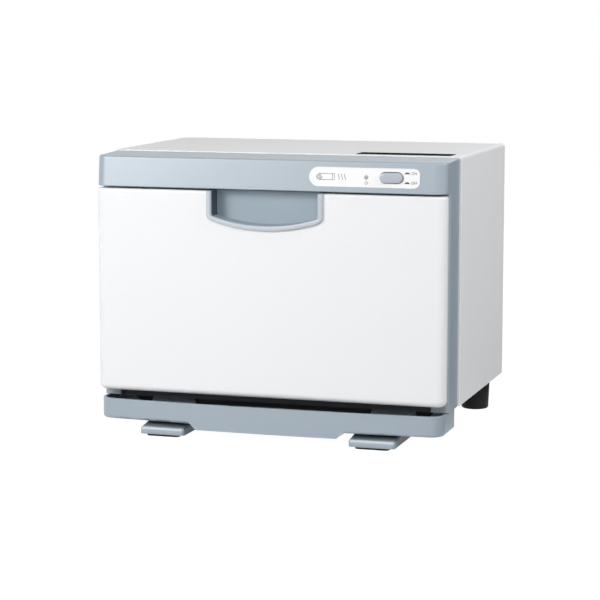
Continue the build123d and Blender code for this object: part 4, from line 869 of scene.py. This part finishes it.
@dataclass
class ControlLegends:
    """The marks on the control plate, each a thin raised print on its leaning face.

    Attributes:
        face_y: Where the plate's face is at its middle height.
        middle: Height of the middle of the plate.
        lean: How far the face leans back, as a slope.
        print_height: Thickness of the ink.
        letter_left: Where the words start.
        letter_height: Height of the capitals.
        on_height: Height of the middle of ON.
        off_height: Height of the middle of OFF.
        hump_middle: Where the humps are across the plate.
        hump_half: Half a hump's width.
        hump_rise: A hump's height.
        stroke: Half the width of a drawn line.
        on_width: Width of ON.
        off_width: Width of OFF.
        power_place: Where the power sign is.
        towel_place: Where the towel sign starts.
    """

    face_y: float = 1.06
    middle: float = 254.4
    lean: float = 3.0 / 28.93
    print_height: float = 0.12
    letter_left: float = 139.9
    letter_height: float = 2.5
    on_height: float = 259.2
    off_height: float = 250.3
    hump_middle: float = 135.9
    hump_half: float = 2.5
    hump_rise: float = 1.7
    stroke: float = 0.23
    on_width: float = 4.9
    off_width: float = 5.7
    power_place: Pair = (97.0, 249.5)
    towel_place: Pair = (51.5, 254.6)

    def build(self) -> None:
        """Print every mark."""
        self.word("legend_on", "ON", self.on_height, self.on_width, INK_GREY)
        self.word("legend_off", "OFF", self.off_height, self.off_width, INK_GREY)
        self.hump("mark_on", self.on_height, INK_GREY)
        self.hump("mark_off", self.off_height, INK_DARK)
        self.power_sign()
        self.towel_sign()

    def upright(self, piece: Piece, x: float, z: float) -> None:
        """Stand a flat mark, drawn in the x-y plane, on the plate's face.

        Args:
            piece: The mark.
            x: Where its origin goes across the plate.
            z: The height at which its origin goes.
        """
        slope = math.atan(self.lean)
        y = self.face_y + (z - self.middle) * self.lean
        turn = Matrix.Rotation(math.pi / 2 - slope, 4, "X")
        piece.data.transform(Matrix.Translation(at(x, y, z)) @ turn)

    def word(self, name: str, text: str, z: float, width: float, ink: Finish) -> None:
        """Print a word.

        Args:
            name: The piece's name.
            text: The letters.
            z: Height of its middle.
            width: Its width.
            ink: Its ink.
        """
        bpy.ops.object.text_add()
        piece = bpy.context.object
        piece.data.body = text
        piece.data.extrude = 0.05
        piece.data.resolution_u = 4
        bpy.ops.object.convert(target="MESH")
        piece = bpy.context.object
        piece.name = piece.data.name = name
        spots = [vert.co for vert in piece.data.vertices]
        low = Vector([min(spot[axis] for spot in spots) for axis in range(3)])
        high = Vector([max(spot[axis] for spot in spots) for axis in range(3)])
        size = high - low
        scale = Matrix.Diagonal((width * MM / size.x, self.letter_height * MM / size.y,
                                 self.print_height * MM / size.z, 1.0))
        piece.data.transform(scale @ Matrix.Translation(-(low + high) / 2))
        self.upright(piece, self.letter_left + width / 2, z)
        Bench.hand_over(piece, Body.CABINET, ink)

    def hump(self, name: str, z: float, ink: Finish) -> None:
        """Print a low hump, flat below and round above.

        Args:
            name: The piece's name.
            z: Height of its middle.
            ink: Its ink.
        """
        piece = Bench.drum(name, Vector((0.0, 0.0, 0.0)), self.hump_half, self.print_height, Axis.Z, 48)
        with Edit(piece) as edit:
            edit.cut(Vector((0.0, 0.0, 0.0)), (0.0, -1.0, 0.0), drop=True)
            bpy.ops.mesh.select_all(action="SELECT")
            edit.resize((1.0, self.hump_rise / self.hump_half, 1.0), Vector((0.0, 0.0, 0.0)))
        self.upright(piece, self.hump_middle, z - self.hump_rise / 2)
        Bench.hand_over(piece, Body.CABINET, ink)

    def line(self, name: str, points: Sequence[Pair]) -> Piece:
        """Draw a line of even width.

        Args:
            name: The piece's name.
            points: The points that it runs through, in millimetres.

        Returns:
            The line.
        """
        route = [Vector((x * MM, y * MM, 0.0)) for x, y in points]
        piece = Bench.tube(name, route, self.stroke, flats=2)
        piece.data.transform(Matrix.Diagonal((1.0, 1.0, self.print_height / self.stroke / 2, 1.0)))
        return piece

    def power_sign(self) -> None:
        """The plain sign for power under the lamp: a broken ring with a bar."""
        gap, radius, parts = math.radians(35.0), 1.35, 20
        ring = []
        for step in range(parts + 1):
            turn = math.pi / 2 + gap + (2 * math.pi - 2 * gap) * step / parts
            ring.append((radius * math.cos(turn), radius * math.sin(turn)))
        marks = [self.line("power_ring", ring), self.line("power_bar", [(0.0, 0.1), (0.0, 1.75)])]
        sign = Bench.join("power_sign", marks)
        self.upright(sign, *self.power_place)
        Bench.hand_over(sign, Body.CABINET, INK_GREY)

    def towel_sign(self) -> None:
        """A generic sign: a rolled towel with three waves of warmth beside it."""
        turns, steps, core, reach = 2.25, 72, 0.5, 2.9
        coil = []
        for step in range(steps + 1):
            turn = 2 * math.pi * turns * step / steps
            far = core + (reach - core) * step / steps
            coil.append((far * math.sin(turn), -far * math.cos(turn)))
        length, fold = 15.0, 0.7
        marks = [self.line("towel_coil", coil)]
        marks.append(self.line("towel_back", [(0.0, -reach), (length, -reach), (length, reach * 0.96),
                                              (0.0, reach * 0.96)]))
        across = length - fold * 3
        marks.append(self.line("towel_fold", [(across, -reach), (across, reach * 0.96)]))
        waves, clear, pitch, swing, parts = 3, 4.0, 3.0, 0.6, 24
        for number in range(waves):
            wave = []
            for step in range(parts + 1):
                wave.append((length + clear + pitch * number + swing * math.sin(2 * math.pi * step / parts),
                             -reach + 2 * reach * step / parts))
            marks.append(self.line(f"warm_wave_{number}", wave))
        sign = Bench.join("towel_sign", marks)
        self.upright(sign, *self.towel_place)
        Bench.hand_over(sign, Body.CABINET, INK_DARK)


@dataclass
class TopFilm:
    """The thin dark film on top of the casing, behind the header's right half."""

    left: float = 70.0
    right: float = 163.0
    front: float = 58.5
    back: float = 83.0
    top: float = 271.7
    thickness: float = 0.22
    sunk: float = 0.05
    corner: float = 2.0
    edge: float = 0.09

    def build(self) -> None:
        """Cut the film and lay it on the casing."""
        film = Bench.block("top_film", at(self.left, self.front, self.top - self.sunk),
                           at(self.right, self.back, self.top + self.thickness))
        with Edit(film) as edit:
            edit.edges(2)
            edit.bevel(self.corner, 5)
            edit.round_rim(2, (self.top + self.thickness) * MM, self.edge, 2)
        Bench.hand_over(film, Body.CABINET, FILM_DARK)


@dataclass
class PowerButton:
    """The pill-shaped button: crowned cap, keeper flange and plunger in one piece."""

    x: float = 121.0
    z: float = 254.7
    half_width: float = 10.65
    half_height: float = 4.75
    front: float = -1.9
    crown: float = 0.28
    wall: float = 5.0
    keeper: float = 1.1
    keeper_thickness: float = 1.2
    plunger_end: float = 15.0
    plunger_share: Pair = (0.25, 0.4)
    end_flat: float = 0.04
    edge: float = 1.0
    crown_borders: Pair = (1.4, 1.2)

    def build(self) -> None:
        """Model the button and put it in place of its node."""
        cap = Bench.block("button_cap", at(self.x - self.half_width, self.front, self.z - self.half_height),
                          at(self.x + self.half_width, self.wall, self.z + self.half_height))
        centre = at(self.x, self.wall, self.z)
        wide = (self.half_width + self.keeper) / self.half_width
        high = (self.half_height + self.keeper) / self.half_height
        with Edit(cap) as edit:
            edit.edges(1)
            edit.bevel(self.half_height - self.end_flat, 10)
            bpy.ops.mesh.select_all(action="SELECT")
            bpy.ops.mesh.remove_doubles(threshold=0.1 * MM)
            edit.round_rim(1, at(0, self.front, 0).y, self.edge, 4)
            edit.faces((0.0, -1.0, 0.0), at(0, self.front, 0).y)
            edit.inset(self.crown_borders[0], self.crown)
            edit.inset(self.crown_borders[1], self.crown / 3)
            edit.faces((0.0, 1.0, 0.0))
            edit.extrude()
            edit.resize((wide, 1.0, high), centre)
            edit.extrude(y=self.keeper_thickness)
            edit.extrude()
            edit.resize((self.plunger_share[0], 1.0, self.plunger_share[1]), centre)
            edit.extrude(y=self.plunger_end - self.wall - self.keeper_thickness)
        Bench.hand_over(cap, Body.BUTTON, BUTTON_SILVER, "power_button", angle=48.0)


@dataclass
class HandleCup:
    """The scoop handle: a raised rim with rounded edges and a steep-sided pocket behind it.

    Attributes:
        middle: Where its middle is across the door.
        half_width: Half its width.
        lowest: Height of the lowest point of its curved bottom.
        corner_rise: How much higher the bottom is at the corners.
        corner: Radius of the lower corners.
        top: Height of its open top.
        rim: Width of the rim.
        proud: How far the rim stands in front of the door.
        wall: Thickness of the pocket's walls.
        depth: Depth of the pocket behind the door's face.
        draft: How much narrower the pocket is at its back, on each side.
        seat: How far the pocket starts behind the door's face.
        rim_edge: Rounding of the rim's edges.
        floor_edge: Rounding of the pocket's floor.
        spare: How far the outline goes past the top before it is cut.
        steps: Number of pieces of the curved bottom.
    """

    middle: float = -1.7
    half_width: float = 57.3
    lowest: float = 201.9
    corner_rise: float = 9.6
    corner: float = 7.0
    top: float = 238.3
    rim: float = 4.6
    proud: float = 3.2
    wall: float = 2.0
    depth: float = 14.5
    draft: float = 0.5
    seat: float = 0.02
    rim_edge: float = 1.3
    floor_edge: float = 0.9
    spare: float = 20.0
    steps: int = 24

    def build(self) -> None:
        """Model the rim and the pocket and put them in place of their node."""
        ring = Bench.sheet("handle_rim", self.outline(0.0, -self.proud), self.proud)
        with Edit(ring) as edit:
            edit.ring(self.rim)
            edit.tidy()
            edit.round_rim(1, at(0.0, -self.proud, 0.0).y, self.rim_edge, 5)
            edit.cut(at(0.0, 0.0, self.top), (0.0, 0.0, 1.0), drop=True)
        # The rim takes the paler copy of the grey, painted light.
        Bench.hand_over(ring, Body.DOOR, HANDLE_RIM_LIT, "handle_cup", angle=50.0)
        cup = Bench.sheet("handle_pocket", self.outline(self.rim - self.wall, self.seat),
                          self.depth + self.wall - self.seat)
        with Edit(cup) as edit:
            edit.faces((0.0, -1.0, 0.0), at(0.0, self.seat, 0.0).y)
            edit.inset(self.wall)
            edit.inset(self.draft, self.seat - self.depth)
            edit.round_rim(1, at(0.0, self.depth, 0.0).y, self.floor_edge, 4)
            edit.cut(at(0.0, 0.0, self.top), (0.0, 0.0, 1.0), drop=True)
        Bench.hand_over(cup, Body.DOOR, HANDLE_GREY, "handle_cup", angle=50.0)
        # Painted shade: the pocket's side walls take the dark copy of the grey, standing in for the shadow
        # in them.
        cup.data.materials.append(HANDLE_SHADE.material())
        opening = (self.half_width - self.rim) * MM
        with Edit(cup) as edit:
            edit.pick(Pick.FACE, lambda face: abs(face.normal.x) > SIDEWAYS and abs(
                face.calc_center_median().x - self.middle * MM) < opening)
            cup.active_material_index = 1
            bpy.ops.object.material_slot_assign()

    def outline(self, inset: float, y: float) -> list[Vector]:
        """The handle's outline, drawn well past its top so that the top can be cut open.

        Args:
            inset: How far inside the rim's outer edge it runs.
            y: Depth at which it lies.

        Returns:
            Its corners in metres.
        """
        half, above = self.half_width - inset, self.top + self.spare
        radius = (self.half_width ** 2 + self.corner_rise ** 2) / (2 * self.corner_rise)
        route = [at(self.middle - half, y, above)]
        for step in range(self.steps + 1):
            across = half * (2 * step / self.steps - 1.0)
            rise = radius - math.sqrt(radius ** 2 - across ** 2)
            route.append(at(self.middle + across, y, self.lowest + inset + rise))
        route.append(at(self.middle + half, y, above))
        rounded = rounded_route([route[0], route[1], route[3]], self.corner - inset / 2, False)
        other = rounded_route([route[-4], route[-2], route[-1]], self.corner - inset / 2, False)
        return rounded[:-1] + route[3:-3] + other[1:]


@dataclass
class DoorSeal:
    """The silicone seal on the back of the door: a base, a groove and a round lip."""

    half_width: float = 150.0
    low: float = 55.0
    high: float = 229.0
    corner: float = 14.0
    base_front: float = 27.0
    base_back: float = 30.2
    lip_back: float = 33.6
    width: float = 7.0
    groove_border: float = 1.1
    groove_depth: float = 0.7
    lip_border: float = 0.5
    lip_round: float = 1.5

    def build(self) -> None:
        """Model the seal and put it in place of its node."""
        seal = Bench.block("door_seal", at(-self.half_width, self.base_front, self.low),
                           at(self.half_width, self.base_back, self.high))
        rear = at(0, self.base_back, 0).y
        with Edit(seal) as edit:
            edit.edges(1)
            edit.bevel(self.corner, 10)
            edit.ring(self.width)
            edit.faces((0.0, 1.0, 0.0), rear)
            edit.inset(self.groove_border)
            edit.extrude(y=-self.groove_depth)
            edit.inset(self.lip_border)
            edit.extrude(y=self.lip_back - self.base_back + self.groove_depth)
            edit.round_rim(1, at(0, self.lip_back, 0).y, self.lip_round, 4)
        Bench.hand_over(seal, Body.DOOR, SEAL_SILICONE, "door_gasket", angle=50.0)


@dataclass
class WireBasket:
    """The welded basket: two loops, floor rods, cross rods and uprights of round wire."""

    half_width: float = 134.0
    front: float = 42.0
    back: float = 192.0
    base: float = 69.6
    rim: float = 110.0
    corner: float = 14.0
    loop_radius: float = 1.8
    rod_radius: float = 1.3
    rod_end: Pair = (0.45, 0.3)
    pitch: float = 24.0
    floor_rods: int = 11
    cross_places: tuple[float, ...] = (74.0, 117.0, 160.0)
    side_places: tuple[float, ...] = (60.0, 95.0, 139.0, 174.0)

    def build(self) -> None:
        """Weld the basket together and put it in place of its nodes."""
        wires = [self.loop("basket_top_loop", self.rim), self.loop("basket_low_loop", self.base)]
        floor_z = self.base - self.loop_radius - self.rod_radius
        middle_y, middle_z = (self.front + self.back) / 2, (self.rim + self.base) / 2
        inset = self.loop_radius + self.rod_radius
        uprights = [(x, y, middle_z) for x in self.spread(self.floor_rods - 1)
                    for y in (self.front + inset, self.back - inset)]
        uprights += [(x, y, middle_z) for y in self.side_places
                     for x in (self.half_width - inset, inset - self.half_width)]
        runs = (
            ("floor_rod", self.back - self.front + 2, Axis.Y,
             [(x, middle_y, floor_z) for x in self.spread(self.floor_rods)]),
            ("cross_rod", 2 * (self.half_width - self.loop_radius), Axis.X,
             [(0.0, y, floor_z + 2 * self.rod_radius) for y in self.cross_places]),
            ("upright", self.rim - self.base + 2, Axis.Z, uprights))
        for name, length, axis, places in runs:
            rod = self.rod(name, length, axis)
            for number, place in enumerate(places):
                wires.append(Bench.copy(rod, f"{name}_{number}", Matrix.Translation(at(*place))))
            bpy.data.objects.remove(rod)
        basket = Bench.join("basket_wirework", wires)
        Bench.hand_over(basket, Body.CABINET, BASKET_CHROME, "basket_rim", "basket_base_loop",
                        "basket_floor_rods", "basket_uprights", angle=40.0)

    def spread(self, count: int) -> list[float]:
        """Places across the basket, a pitch apart and evenly about its middle."""
        return [(number - (count - 1) / 2) * self.pitch for number in range(count)]

    def loop(self, name: str, z: float) -> Piece:
        """Bend one closed loop.

        Args:
            name: Its name.
            z: Its height.

        Returns:
            The loop.
        """
        corners = [at(-self.half_width, self.front, z), at(self.half_width, self.front, z),
                   at(self.half_width, self.back, z), at(-self.half_width, self.back, z)]
        return Bench.tube(name, rounded_route(corners, self.corner, True, 10), self.loop_radius, True)

    def rod(self, name: str, length: float, axis: Axis) -> Piece:
        """Cut one rod with rounded ends, at the origin.

        Args:
            name: Its name.
            length: Its length before the ends are rounded.
            axis: The way that it lies.

        Returns:
            The rod.
        """
        rod = Bench.drum(name, Vector((0.0, 0.0, 0.0)), self.rod_radius, length, axis, 12)
        with Edit(rod) as edit:
            edit.pick(Pick.FACE, lambda face: len(face.verts) > 4)
            edit.inset(*self.rod_end)
        return rod


@dataclass
class FrontPads:
    """The rubber pads under the front feet, with a grooved tread."""

    x: float = 104.5
    half_width: float = 16.5
    front: float = -4.6
    back: float = 23.0
    height: float = 1.9
    corner: float = 4.0
    grooves: int = 6
    border: float = 0.5
    tread: float = 0.6

    def build(self) -> None:
        """Model both pads."""
        for side, word in ((-1, "left"), (1, "right")):
            pad = Bench.block(f"tread_pad_{word}", at(side * self.x - self.half_width, self.front, 0.0),
                              at(side * self.x + self.half_width, self.back, self.height))
            step = (self.back - self.front) / (2 * self.grooves + 1)
            with Edit(pad) as edit:
                edit.edges(2)
                edit.bevel(self.corner, 6)
                for number in range(1, 2 * self.grooves + 1):
                    edit.cut(at(0.0, self.front + step * number, 0.0), (0.0, 1.0, 0.0))
                edit.pick(Pick.FACE, lambda face: face.normal.z < -0.9 and int(
                    (face.calc_center_median().y - at(0.0, self.front, 0.0).y) / (step * MM)) % 2 == 1)
                edit.inset(self.border, 0.0, apart=True)
                edit.extrude(z=self.tread)
            Bench.hand_over(pad, Body.CABINET, PAD_RUBBER, f"front_foot_pad_{word}")


@dataclass(frozen=True)
class ScrewSet:
    """One kind of screw and where its copies go.

    Attributes:
        node: The frame node of the group.
        body: The body that the screws ride on.
        places: Two coordinates of each: x and z for screws that lie along y, x and y for upright ones.
        seat: Where the head's underside is, along the screw.
        tip: Where the point is.
        upright: Whether the screws stand upright, heads down.
        head: Radius of the head.
        flush: Whether the head is sunk.
    """

    node: str
    body: Body
    places: tuple[Pair, ...]
    seat: float
    tip: float
    upright: bool = False
    head: float = 2.8
    flush: bool = False


def both_sides(*places: Pair) -> tuple[Pair, ...]:
    """The places and their mirror images across the middle."""
    return tuple((side * x, other) for x, other in places for side in (-1, 1))


@dataclass
class Screws:
    """Every screw, modelled once for its kind, with a cross recess and a thread."""

    shank: float = 1.5
    head_height: float = 1.8
    sets: tuple[ScrewSet, ...] = (
        ScrewSet("tank_screws", Body.CABINET, both_sides((163, 95), (163, 190), (90, 243.6)), 35.2, 25.0),
        ScrewSet("bezel_screws", Body.CABINET,
                 both_sides((167.4, 75), (167.4, 220), (100, 264.4)), 55.0, 47.0),
        ScrewSet("rear_panel_screws", Body.CABINET,
                 both_sides((171, 60), (171, 150), (171, 240), (90, 267.6)), 247.6, 240.0),
        ScrewSet("door_screws", Body.DOOR, both_sides((164, 78), (164, 182)), 11.2, 3.0),
        ScrewSet("switch_screws", Body.CABINET, ((105.4, 254.7), (136.6, 254.7)), 12.6, 5.0),
        ScrewSet("hinge_screws", Body.CABINET, both_sides((165.2, 46.6), (165.2, 60.6)), 19.3, 30.0,
                 head=2.6, flush=True),
        ScrewSet("base_screws", Body.CABINET, both_sides((170, 80), (170, 150), (170, 222)), 35.0, 42.0,
                 upright=True),
        ScrewSet("rail_screws", Body.CABINET, both_sides((45.8, 70), (64.2, 94)), 35.0, 42.0, upright=True),
        ScrewSet("front_foot_screws", Body.CABINET, both_sides((94.5, 74), (114.5, 74)), 32.0, 43.5,
                 upright=True),
        ScrewSet("rear_foot_screws", Body.CABINET, both_sides((150.3, 232)), 16.5, 43.5, upright=True,
                 head=4.6),
    )

    def build(self) -> None:
        """Make each kind and copy it to its places."""
        for kind in self.sets:
            master = self.screw(kind)
            copies = []
            for number, (x, other) in enumerate(kind.places):
                copies.append(Bench.copy(master, f"{kind.node}_{number}", self.place(kind, x, other)))
            bpy.data.objects.remove(master)
            group = Bench.join(f"{kind.node}_crossed", copies)
            Bench.hand_over(group, kind.body, SCREW_STEEL, kind.node)

    @staticmethod
    def place(kind: ScrewSet, x: float, other: float) -> Matrix:
        """Where one screw goes: its own z axis runs from the seat to the head.

        Args:
            kind: The kind of screw.
            x: Its place across the part.
            other: Its other coordinate.

        Returns:
            The turn and shift that take it there.
        """
        if kind.upright:
            return Matrix.Translation(at(x, other, kind.seat)) @ Matrix.Rotation(math.pi, 4, "X")
        turn = math.pi / 2 if kind.tip > kind.seat else -math.pi / 2
        return Matrix.Translation(at(x, kind.seat, other)) @ Matrix.Rotation(turn, 4, "X")

    def screw(self, kind: ScrewSet) -> Piece:
        """Model one screw at the origin, head up, with its seat at height nought.

        Args:
            kind: The kind of screw.

        Returns:
            The screw.
        """
        height = 0.8 if kind.flush else self.head_height
        crown = kind.head * 0.55
        profile = [(0.0, height), (crown, height)]
        if kind.flush:
            profile += [(kind.head, height), (kind.head, 0.0)]
        else:
            profile += [(kind.head * 0.86, height * 0.78), (kind.head, height * 0.35), (kind.head, 0.0)]
        length = abs(kind.tip - kind.seat)
        turns = 8
        root = self.shank * 0.78
        profile.append((root, 0.0))
        for number in range(turns):
            low = -length * 0.9 * (number + 0.5) / turns
            profile += [(self.shank, low), (root, low - length * 0.45 / turns)]
        profile.append((0.0, -length))
        screw = Bench.turned(f"{kind.node}_master", profile, 20)
        arm, slot, deep = kind.head * 0.62, kind.head * 0.13, height * 0.6
        cutters = []
        for label, wide, long in (("one", arm, slot), ("other", slot, arm)):
            cutters.append(Bench.block(f"cross_{label}", Vector((-wide, -long, height - deep)) * MM,
                                       Vector((wide, long, height + 1.0)) * MM))
        for cutter in cutters:
            Bench.modifier(screw, "BOOLEAN", object=cutter, operation="DIFFERENCE", solver="EXACT")
            bpy.data.objects.remove(cutter)
        return screw


@dataclass
class CordBushing:
    """The strain bushing in the back: ribbed flange, threaded body and six-sided nut."""

    x: float = -128.0
    z: float = 62.0
    panel: float = 247.6
    bore: float = 3.8
    body: float = 7.9
    turns: int = 5
    start: float = -3.2

    def build(self) -> None:
        """Turn the bushing and put it in place of its node."""
        low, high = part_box("cord_gland")
        reach = (high.x - low.x) / MM / 2
        inner_end = low.y / MM + MIDDLE_Y
        top = high.y / MM + MIDDLE_Y - self.panel
        bore, body = self.bore, self.body
        profile = [(bore, top - 0.4), (bore + 0.5, top), (bore + 1.6, top), (bore + 1.9, top - 0.5),
                   (bore + 2.6, top - 0.5), (bore + 2.9, top), (reach - 1.4, top), (reach - 0.3, top - 0.6),
                   (reach, top - 1.3), (reach, 0.0), (body, 0.0), (body, self.start)]
        end = inner_end - self.panel
        step = (end - self.start) / self.turns
        for number in range(self.turns):
            profile += [(body - 0.7, self.start + step * (number + 0.45)),
                        (body, self.start + step * (number + 0.9))]
        profile += [(body - 0.6, end), (bore, end), (bore, top - 0.4)]
        bushing = Bench.turned("cord_bushing_body", profile, 40)
        nut = Bench.drum("cord_bushing_nut", Vector((0.0, 0.0, self.start * MM)), reach, 4.0, Axis.Z, 6)
        with Edit(nut) as edit:
            edit.pick(Pick.EDGE, lambda edge: abs(edge.verts[0].co.z - edge.verts[1].co.z) < MERGE)
            edit.bevel(0.5, 2)
        whole = Bench.join("cord_bushing", [bushing, nut])
        whole.data.transform(Matrix.Translation(at(self.x, self.panel, self.z))
                             @ Matrix.Rotation(-math.pi / 2, 4, "X"))
        Bench.hand_over(whole, Body.CABINET, FOOT_BLACK, "cord_gland")


@dataclass(frozen=True)
class SoftFill:
    """A soft filling made from its frame node.

    Attributes:
        node: The frame node.
        body: The body that it rides on.
        finish: Its finish.
        grain: Size of its facets in millimetres.
        ripple: How far its surface wanders inwards, in millimetres.
        wave: Size of its ripples in millimetres.
    """

    node: str
    body: Body
    finish: Finish
    grain: float
    ripple: float
    wave: float

    def build(self) -> None:
        """Copy the node, remesh it finely and let its surface wander."""
        source = frame["nodes"][self.node]
        fill = bpy.data.objects.new(f"{self.node}_soft", source.data.copy())
        bpy.context.scene.collection.objects.link(fill)
        with Edit(fill) as edit:
            edit.tidy()
        Bench.modifier(fill, "REMESH", mode="VOXEL", voxel_size=self.grain * MM)
        texture = bpy.data.textures.new(f"{self.node}_ripple", "CLOUDS")
        texture.noise_scale = self.wave * MM
        Bench.modifier(fill, "DISPLACE", texture=texture, strength=self.ripple * MM, mid_level=1.0)
        Bench.modifier(fill, "SMOOTH", factor=0.5, iterations=2)
        Bench.hand_over(fill, self.body, self.finish, self.node, angle=80.0, merge=False)


SOFT_FILLS = (
    SoftFill("insulation_blanket", Body.CABINET, BLANKET_FELT, 2.6, 1.2, 9.0),
    SoftFill("door_insulation", Body.DOOR, DOOR_FOAM, 2.4, 0.8, 5.0),
)


@dataclass
class Studio:
    """Pale floor, soft studio light and the camera.

    Attributes:
        lens: Focal length in millimetres.
        stand: Where the camera stands, in metres.
        pan: Turn about the upright axis in degrees.
        tilt: How far the camera looks down in degrees.
        sky_light: Strength of the light that comes from straight above.
        low_light: Strength of the light that comes from the horizon and below.
        floor_side: Side of the floor in metres.
        floor_glow: Strength of the white that the camera sees on the floor.
        floor_share: How much of the floor's look is that white.
        floor_grey: How pale the floor is.
        sensor: Width of the camera's sensor in millimetres.
        clip: Nearest and farthest distance that the camera sees.
        fade: Heights between which the world's light grows, 0 level and 1 straight up.
        cards: Each dark card's name, low corner and high corner.
        lamps: Each lamp's name, place, target, size and brightness.
    """

    lens: float = 126.42
    stand: tuple[float, float, float] = (0.61747, -1.98922, 0.41332)
    pan: float = 17.37
    tilt: float = 8.01
    sky_light: float = 0.15
    low_light: float = 0.07
    floor_side: float = 40.0
    floor_glow: float = 1.22
    floor_share: float = 0.8
    floor_grey: float = 0.60
    sensor: float = 36.0
    clip: Pair = (0.05, 60.0)
    fade: Pair = (0.15, 0.75)
    cards: tuple = (
        ("right_flag", (0.25, 0.61, 0.0), (1.65, 0.63, 1.0)),
        ("low_flag", (0.20, -0.30, 0.0), (1.65, 0.61, 0.002)))
    lamps: tuple = (
        ("key_softbox", (-0.88, -1.41, 0.76), (0.0, -0.1, 0.15), (0.60, 0.66), 14.0),
        ("rear_fill", (0.4, 2.6, 1.4), (0.0, 0.0, 0.12), (1.6, 1.2), 1.2),
        ("front_fill", (0.60, -2.2, 1.5), (0.0, -0.1, 0.14), (1.6, 1.0), 2.9),
        ("right_fill", (1.75, -0.25, 1.3), (0.1, 0.0, 0.12), (1.1, 1.1), 5.8))

    def build(self) -> None:
        """Set up the camera, the world, the floor and the lamps."""
        self.camera()
        self.world()
        self.floor()
        for card in self.cards:
            self.flag(*card)
        for lamp in self.lamps:
            self.lamp(*lamp)

    def camera(self) -> None:
        """Place the camera as the photograph has it."""
        data = bpy.data.cameras.new("photo_camera")
        data.lens, data.sensor_width = self.lens, self.sensor
        data.clip_start, data.clip_end = self.clip
        camera = bpy.data.objects.new("photo_camera", data)
        camera.location = self.stand
        camera.rotation_euler = (math.radians(90.0 - self.tilt), 0.0, math.radians(self.pan))
        bpy.context.scene.collection.objects.link(camera)
        bpy.context.scene.camera = camera
        bpy.context.scene.view_settings.view_transform = "Standard"

    def seen(self, tree: Tree) -> Socket:
        """Add the test that is 1 for camera, glossy and transmission rays.

        Args:
            tree: The node tree.

        Returns:
            The test's socket.
        """
        path = tree.nodes.new("ShaderNodeLightPath")
        some = GROUPS.maths(tree, "MAXIMUM", path.outputs["Is Camera Ray"], path.outputs["Is Glossy Ray"])
        return GROUPS.maths(tree, "MAXIMUM", some, path.outputs["Is Transmission Ray"])

    def world(self) -> None:
        """Soft light that falls from above, white where it is seen."""
        world = bpy.data.worlds.new("studio_world")
        world.use_nodes = True
        tree = world.node_tree
        place = shader_node(tree, "TexCoord").outputs["Generated"]
        height = shader_node(tree, "SeparateXYZ", {"Vector": place}).outputs["Z"]
        falling = shader_node(tree, "MapRange", {
            "Value": height, "From Min": self.fade[0], "From Max": self.fade[1], "To Min": self.low_light,
            "To Max": self.sky_light}, interpolation_type="SMOOTHSTEP")
        level = shader_node(tree, "MapRange", {
            "Value": self.seen(tree), "To Min": falling.outputs["Result"], "To Max": 1.0})
        feed(tree, tree.nodes["Background"], {
            "Color": (1.0, 1.0, 1.0, 1.0), "Strength": level.outputs["Result"]})
        bpy.context.scene.world = world

    def floor(self) -> None:
        """Pale floor that is white to the camera and keeps the object's shadow."""
        bpy.ops.mesh.primitive_plane_add(size=self.floor_side, location=(0.0, 0.0, 0.0))
        floor = bpy.context.object
        floor.name = "studio_floor"
        made = bpy.data.materials.new("studio_floor_white")
        made.use_nodes = True
        tree = made.node_tree
        shader = tree.nodes["Principled BSDF"]
        feed(tree, shader, {"Base Color": (*[self.floor_grey] * 3, 1.0), "Roughness": 0.9,
                            "Specular IOR Level": 0.1})
        glow = shader_node(tree, "Emission", {"Strength": self.floor_glow})
        share = GROUPS.maths(tree, "MULTIPLY", self.seen(tree), self.floor_share)
        blend = shader_node(tree, "MixShader", {"Fac": share, 1: shader.outputs["BSDF"],
                                                2: glow.outputs["Emission"]})
        feed(tree, tree.nodes["Material Output"], {"Surface": blend.outputs["Shader"]})
        floor.data.materials.append(made)

    def flag(self, name: str, low: tuple, high: tuple) -> None:
        """Put a dark card where only reflections see it.

        Args:
            name: The card's name.
            low: Its low corner in metres.
            high: Its high corner in metres.
        """
        card = Bench.block(name, Vector(low), Vector(high))
        card.data.materials.append(DARK_SHEET.material())
        card.visible_camera = card.visible_diffuse = card.visible_shadow = False

    def lamp(self, name: str, place: tuple, target: tuple, size: tuple, radiance: float) -> None:
        """Add a rectangular softbox.

        Args:
            name: The lamp's name.
            place: Where it stands.
            target: What it points at.
            size: Its width and height in metres.
            radiance: How bright its face is.
        """
        data = bpy.data.lights.new(name, "AREA")
        data.shape = "RECTANGLE"
        data.size, data.size_y = size
        data.energy = radiance * math.pi * size[0] * size[1]
        lamp = bpy.data.objects.new(name, data)
        lamp.location = place
        lamp.rotation_euler = (Vector(target) - Vector(place)).to_track_quat("-Z", "Y").to_euler()
        bpy.context.scene.collection.objects.link(lamp)


def main() -> None:
    """Dress the frame, build every piece in order and light the scene."""
    dress_frame()
    builders = (ControlLegends(), TopFilm(), PowerButton(), HandleCup(), DoorSeal(), WireBasket(),
                FrontPads(), Screws(), CordBushing(), *SOFT_FILLS)
    for builder in builders:
        builder.build()
    LOG.info("%d pieces made", len(Bench.made))
    Studio().build()


if __name__ == "__main__":
    main()
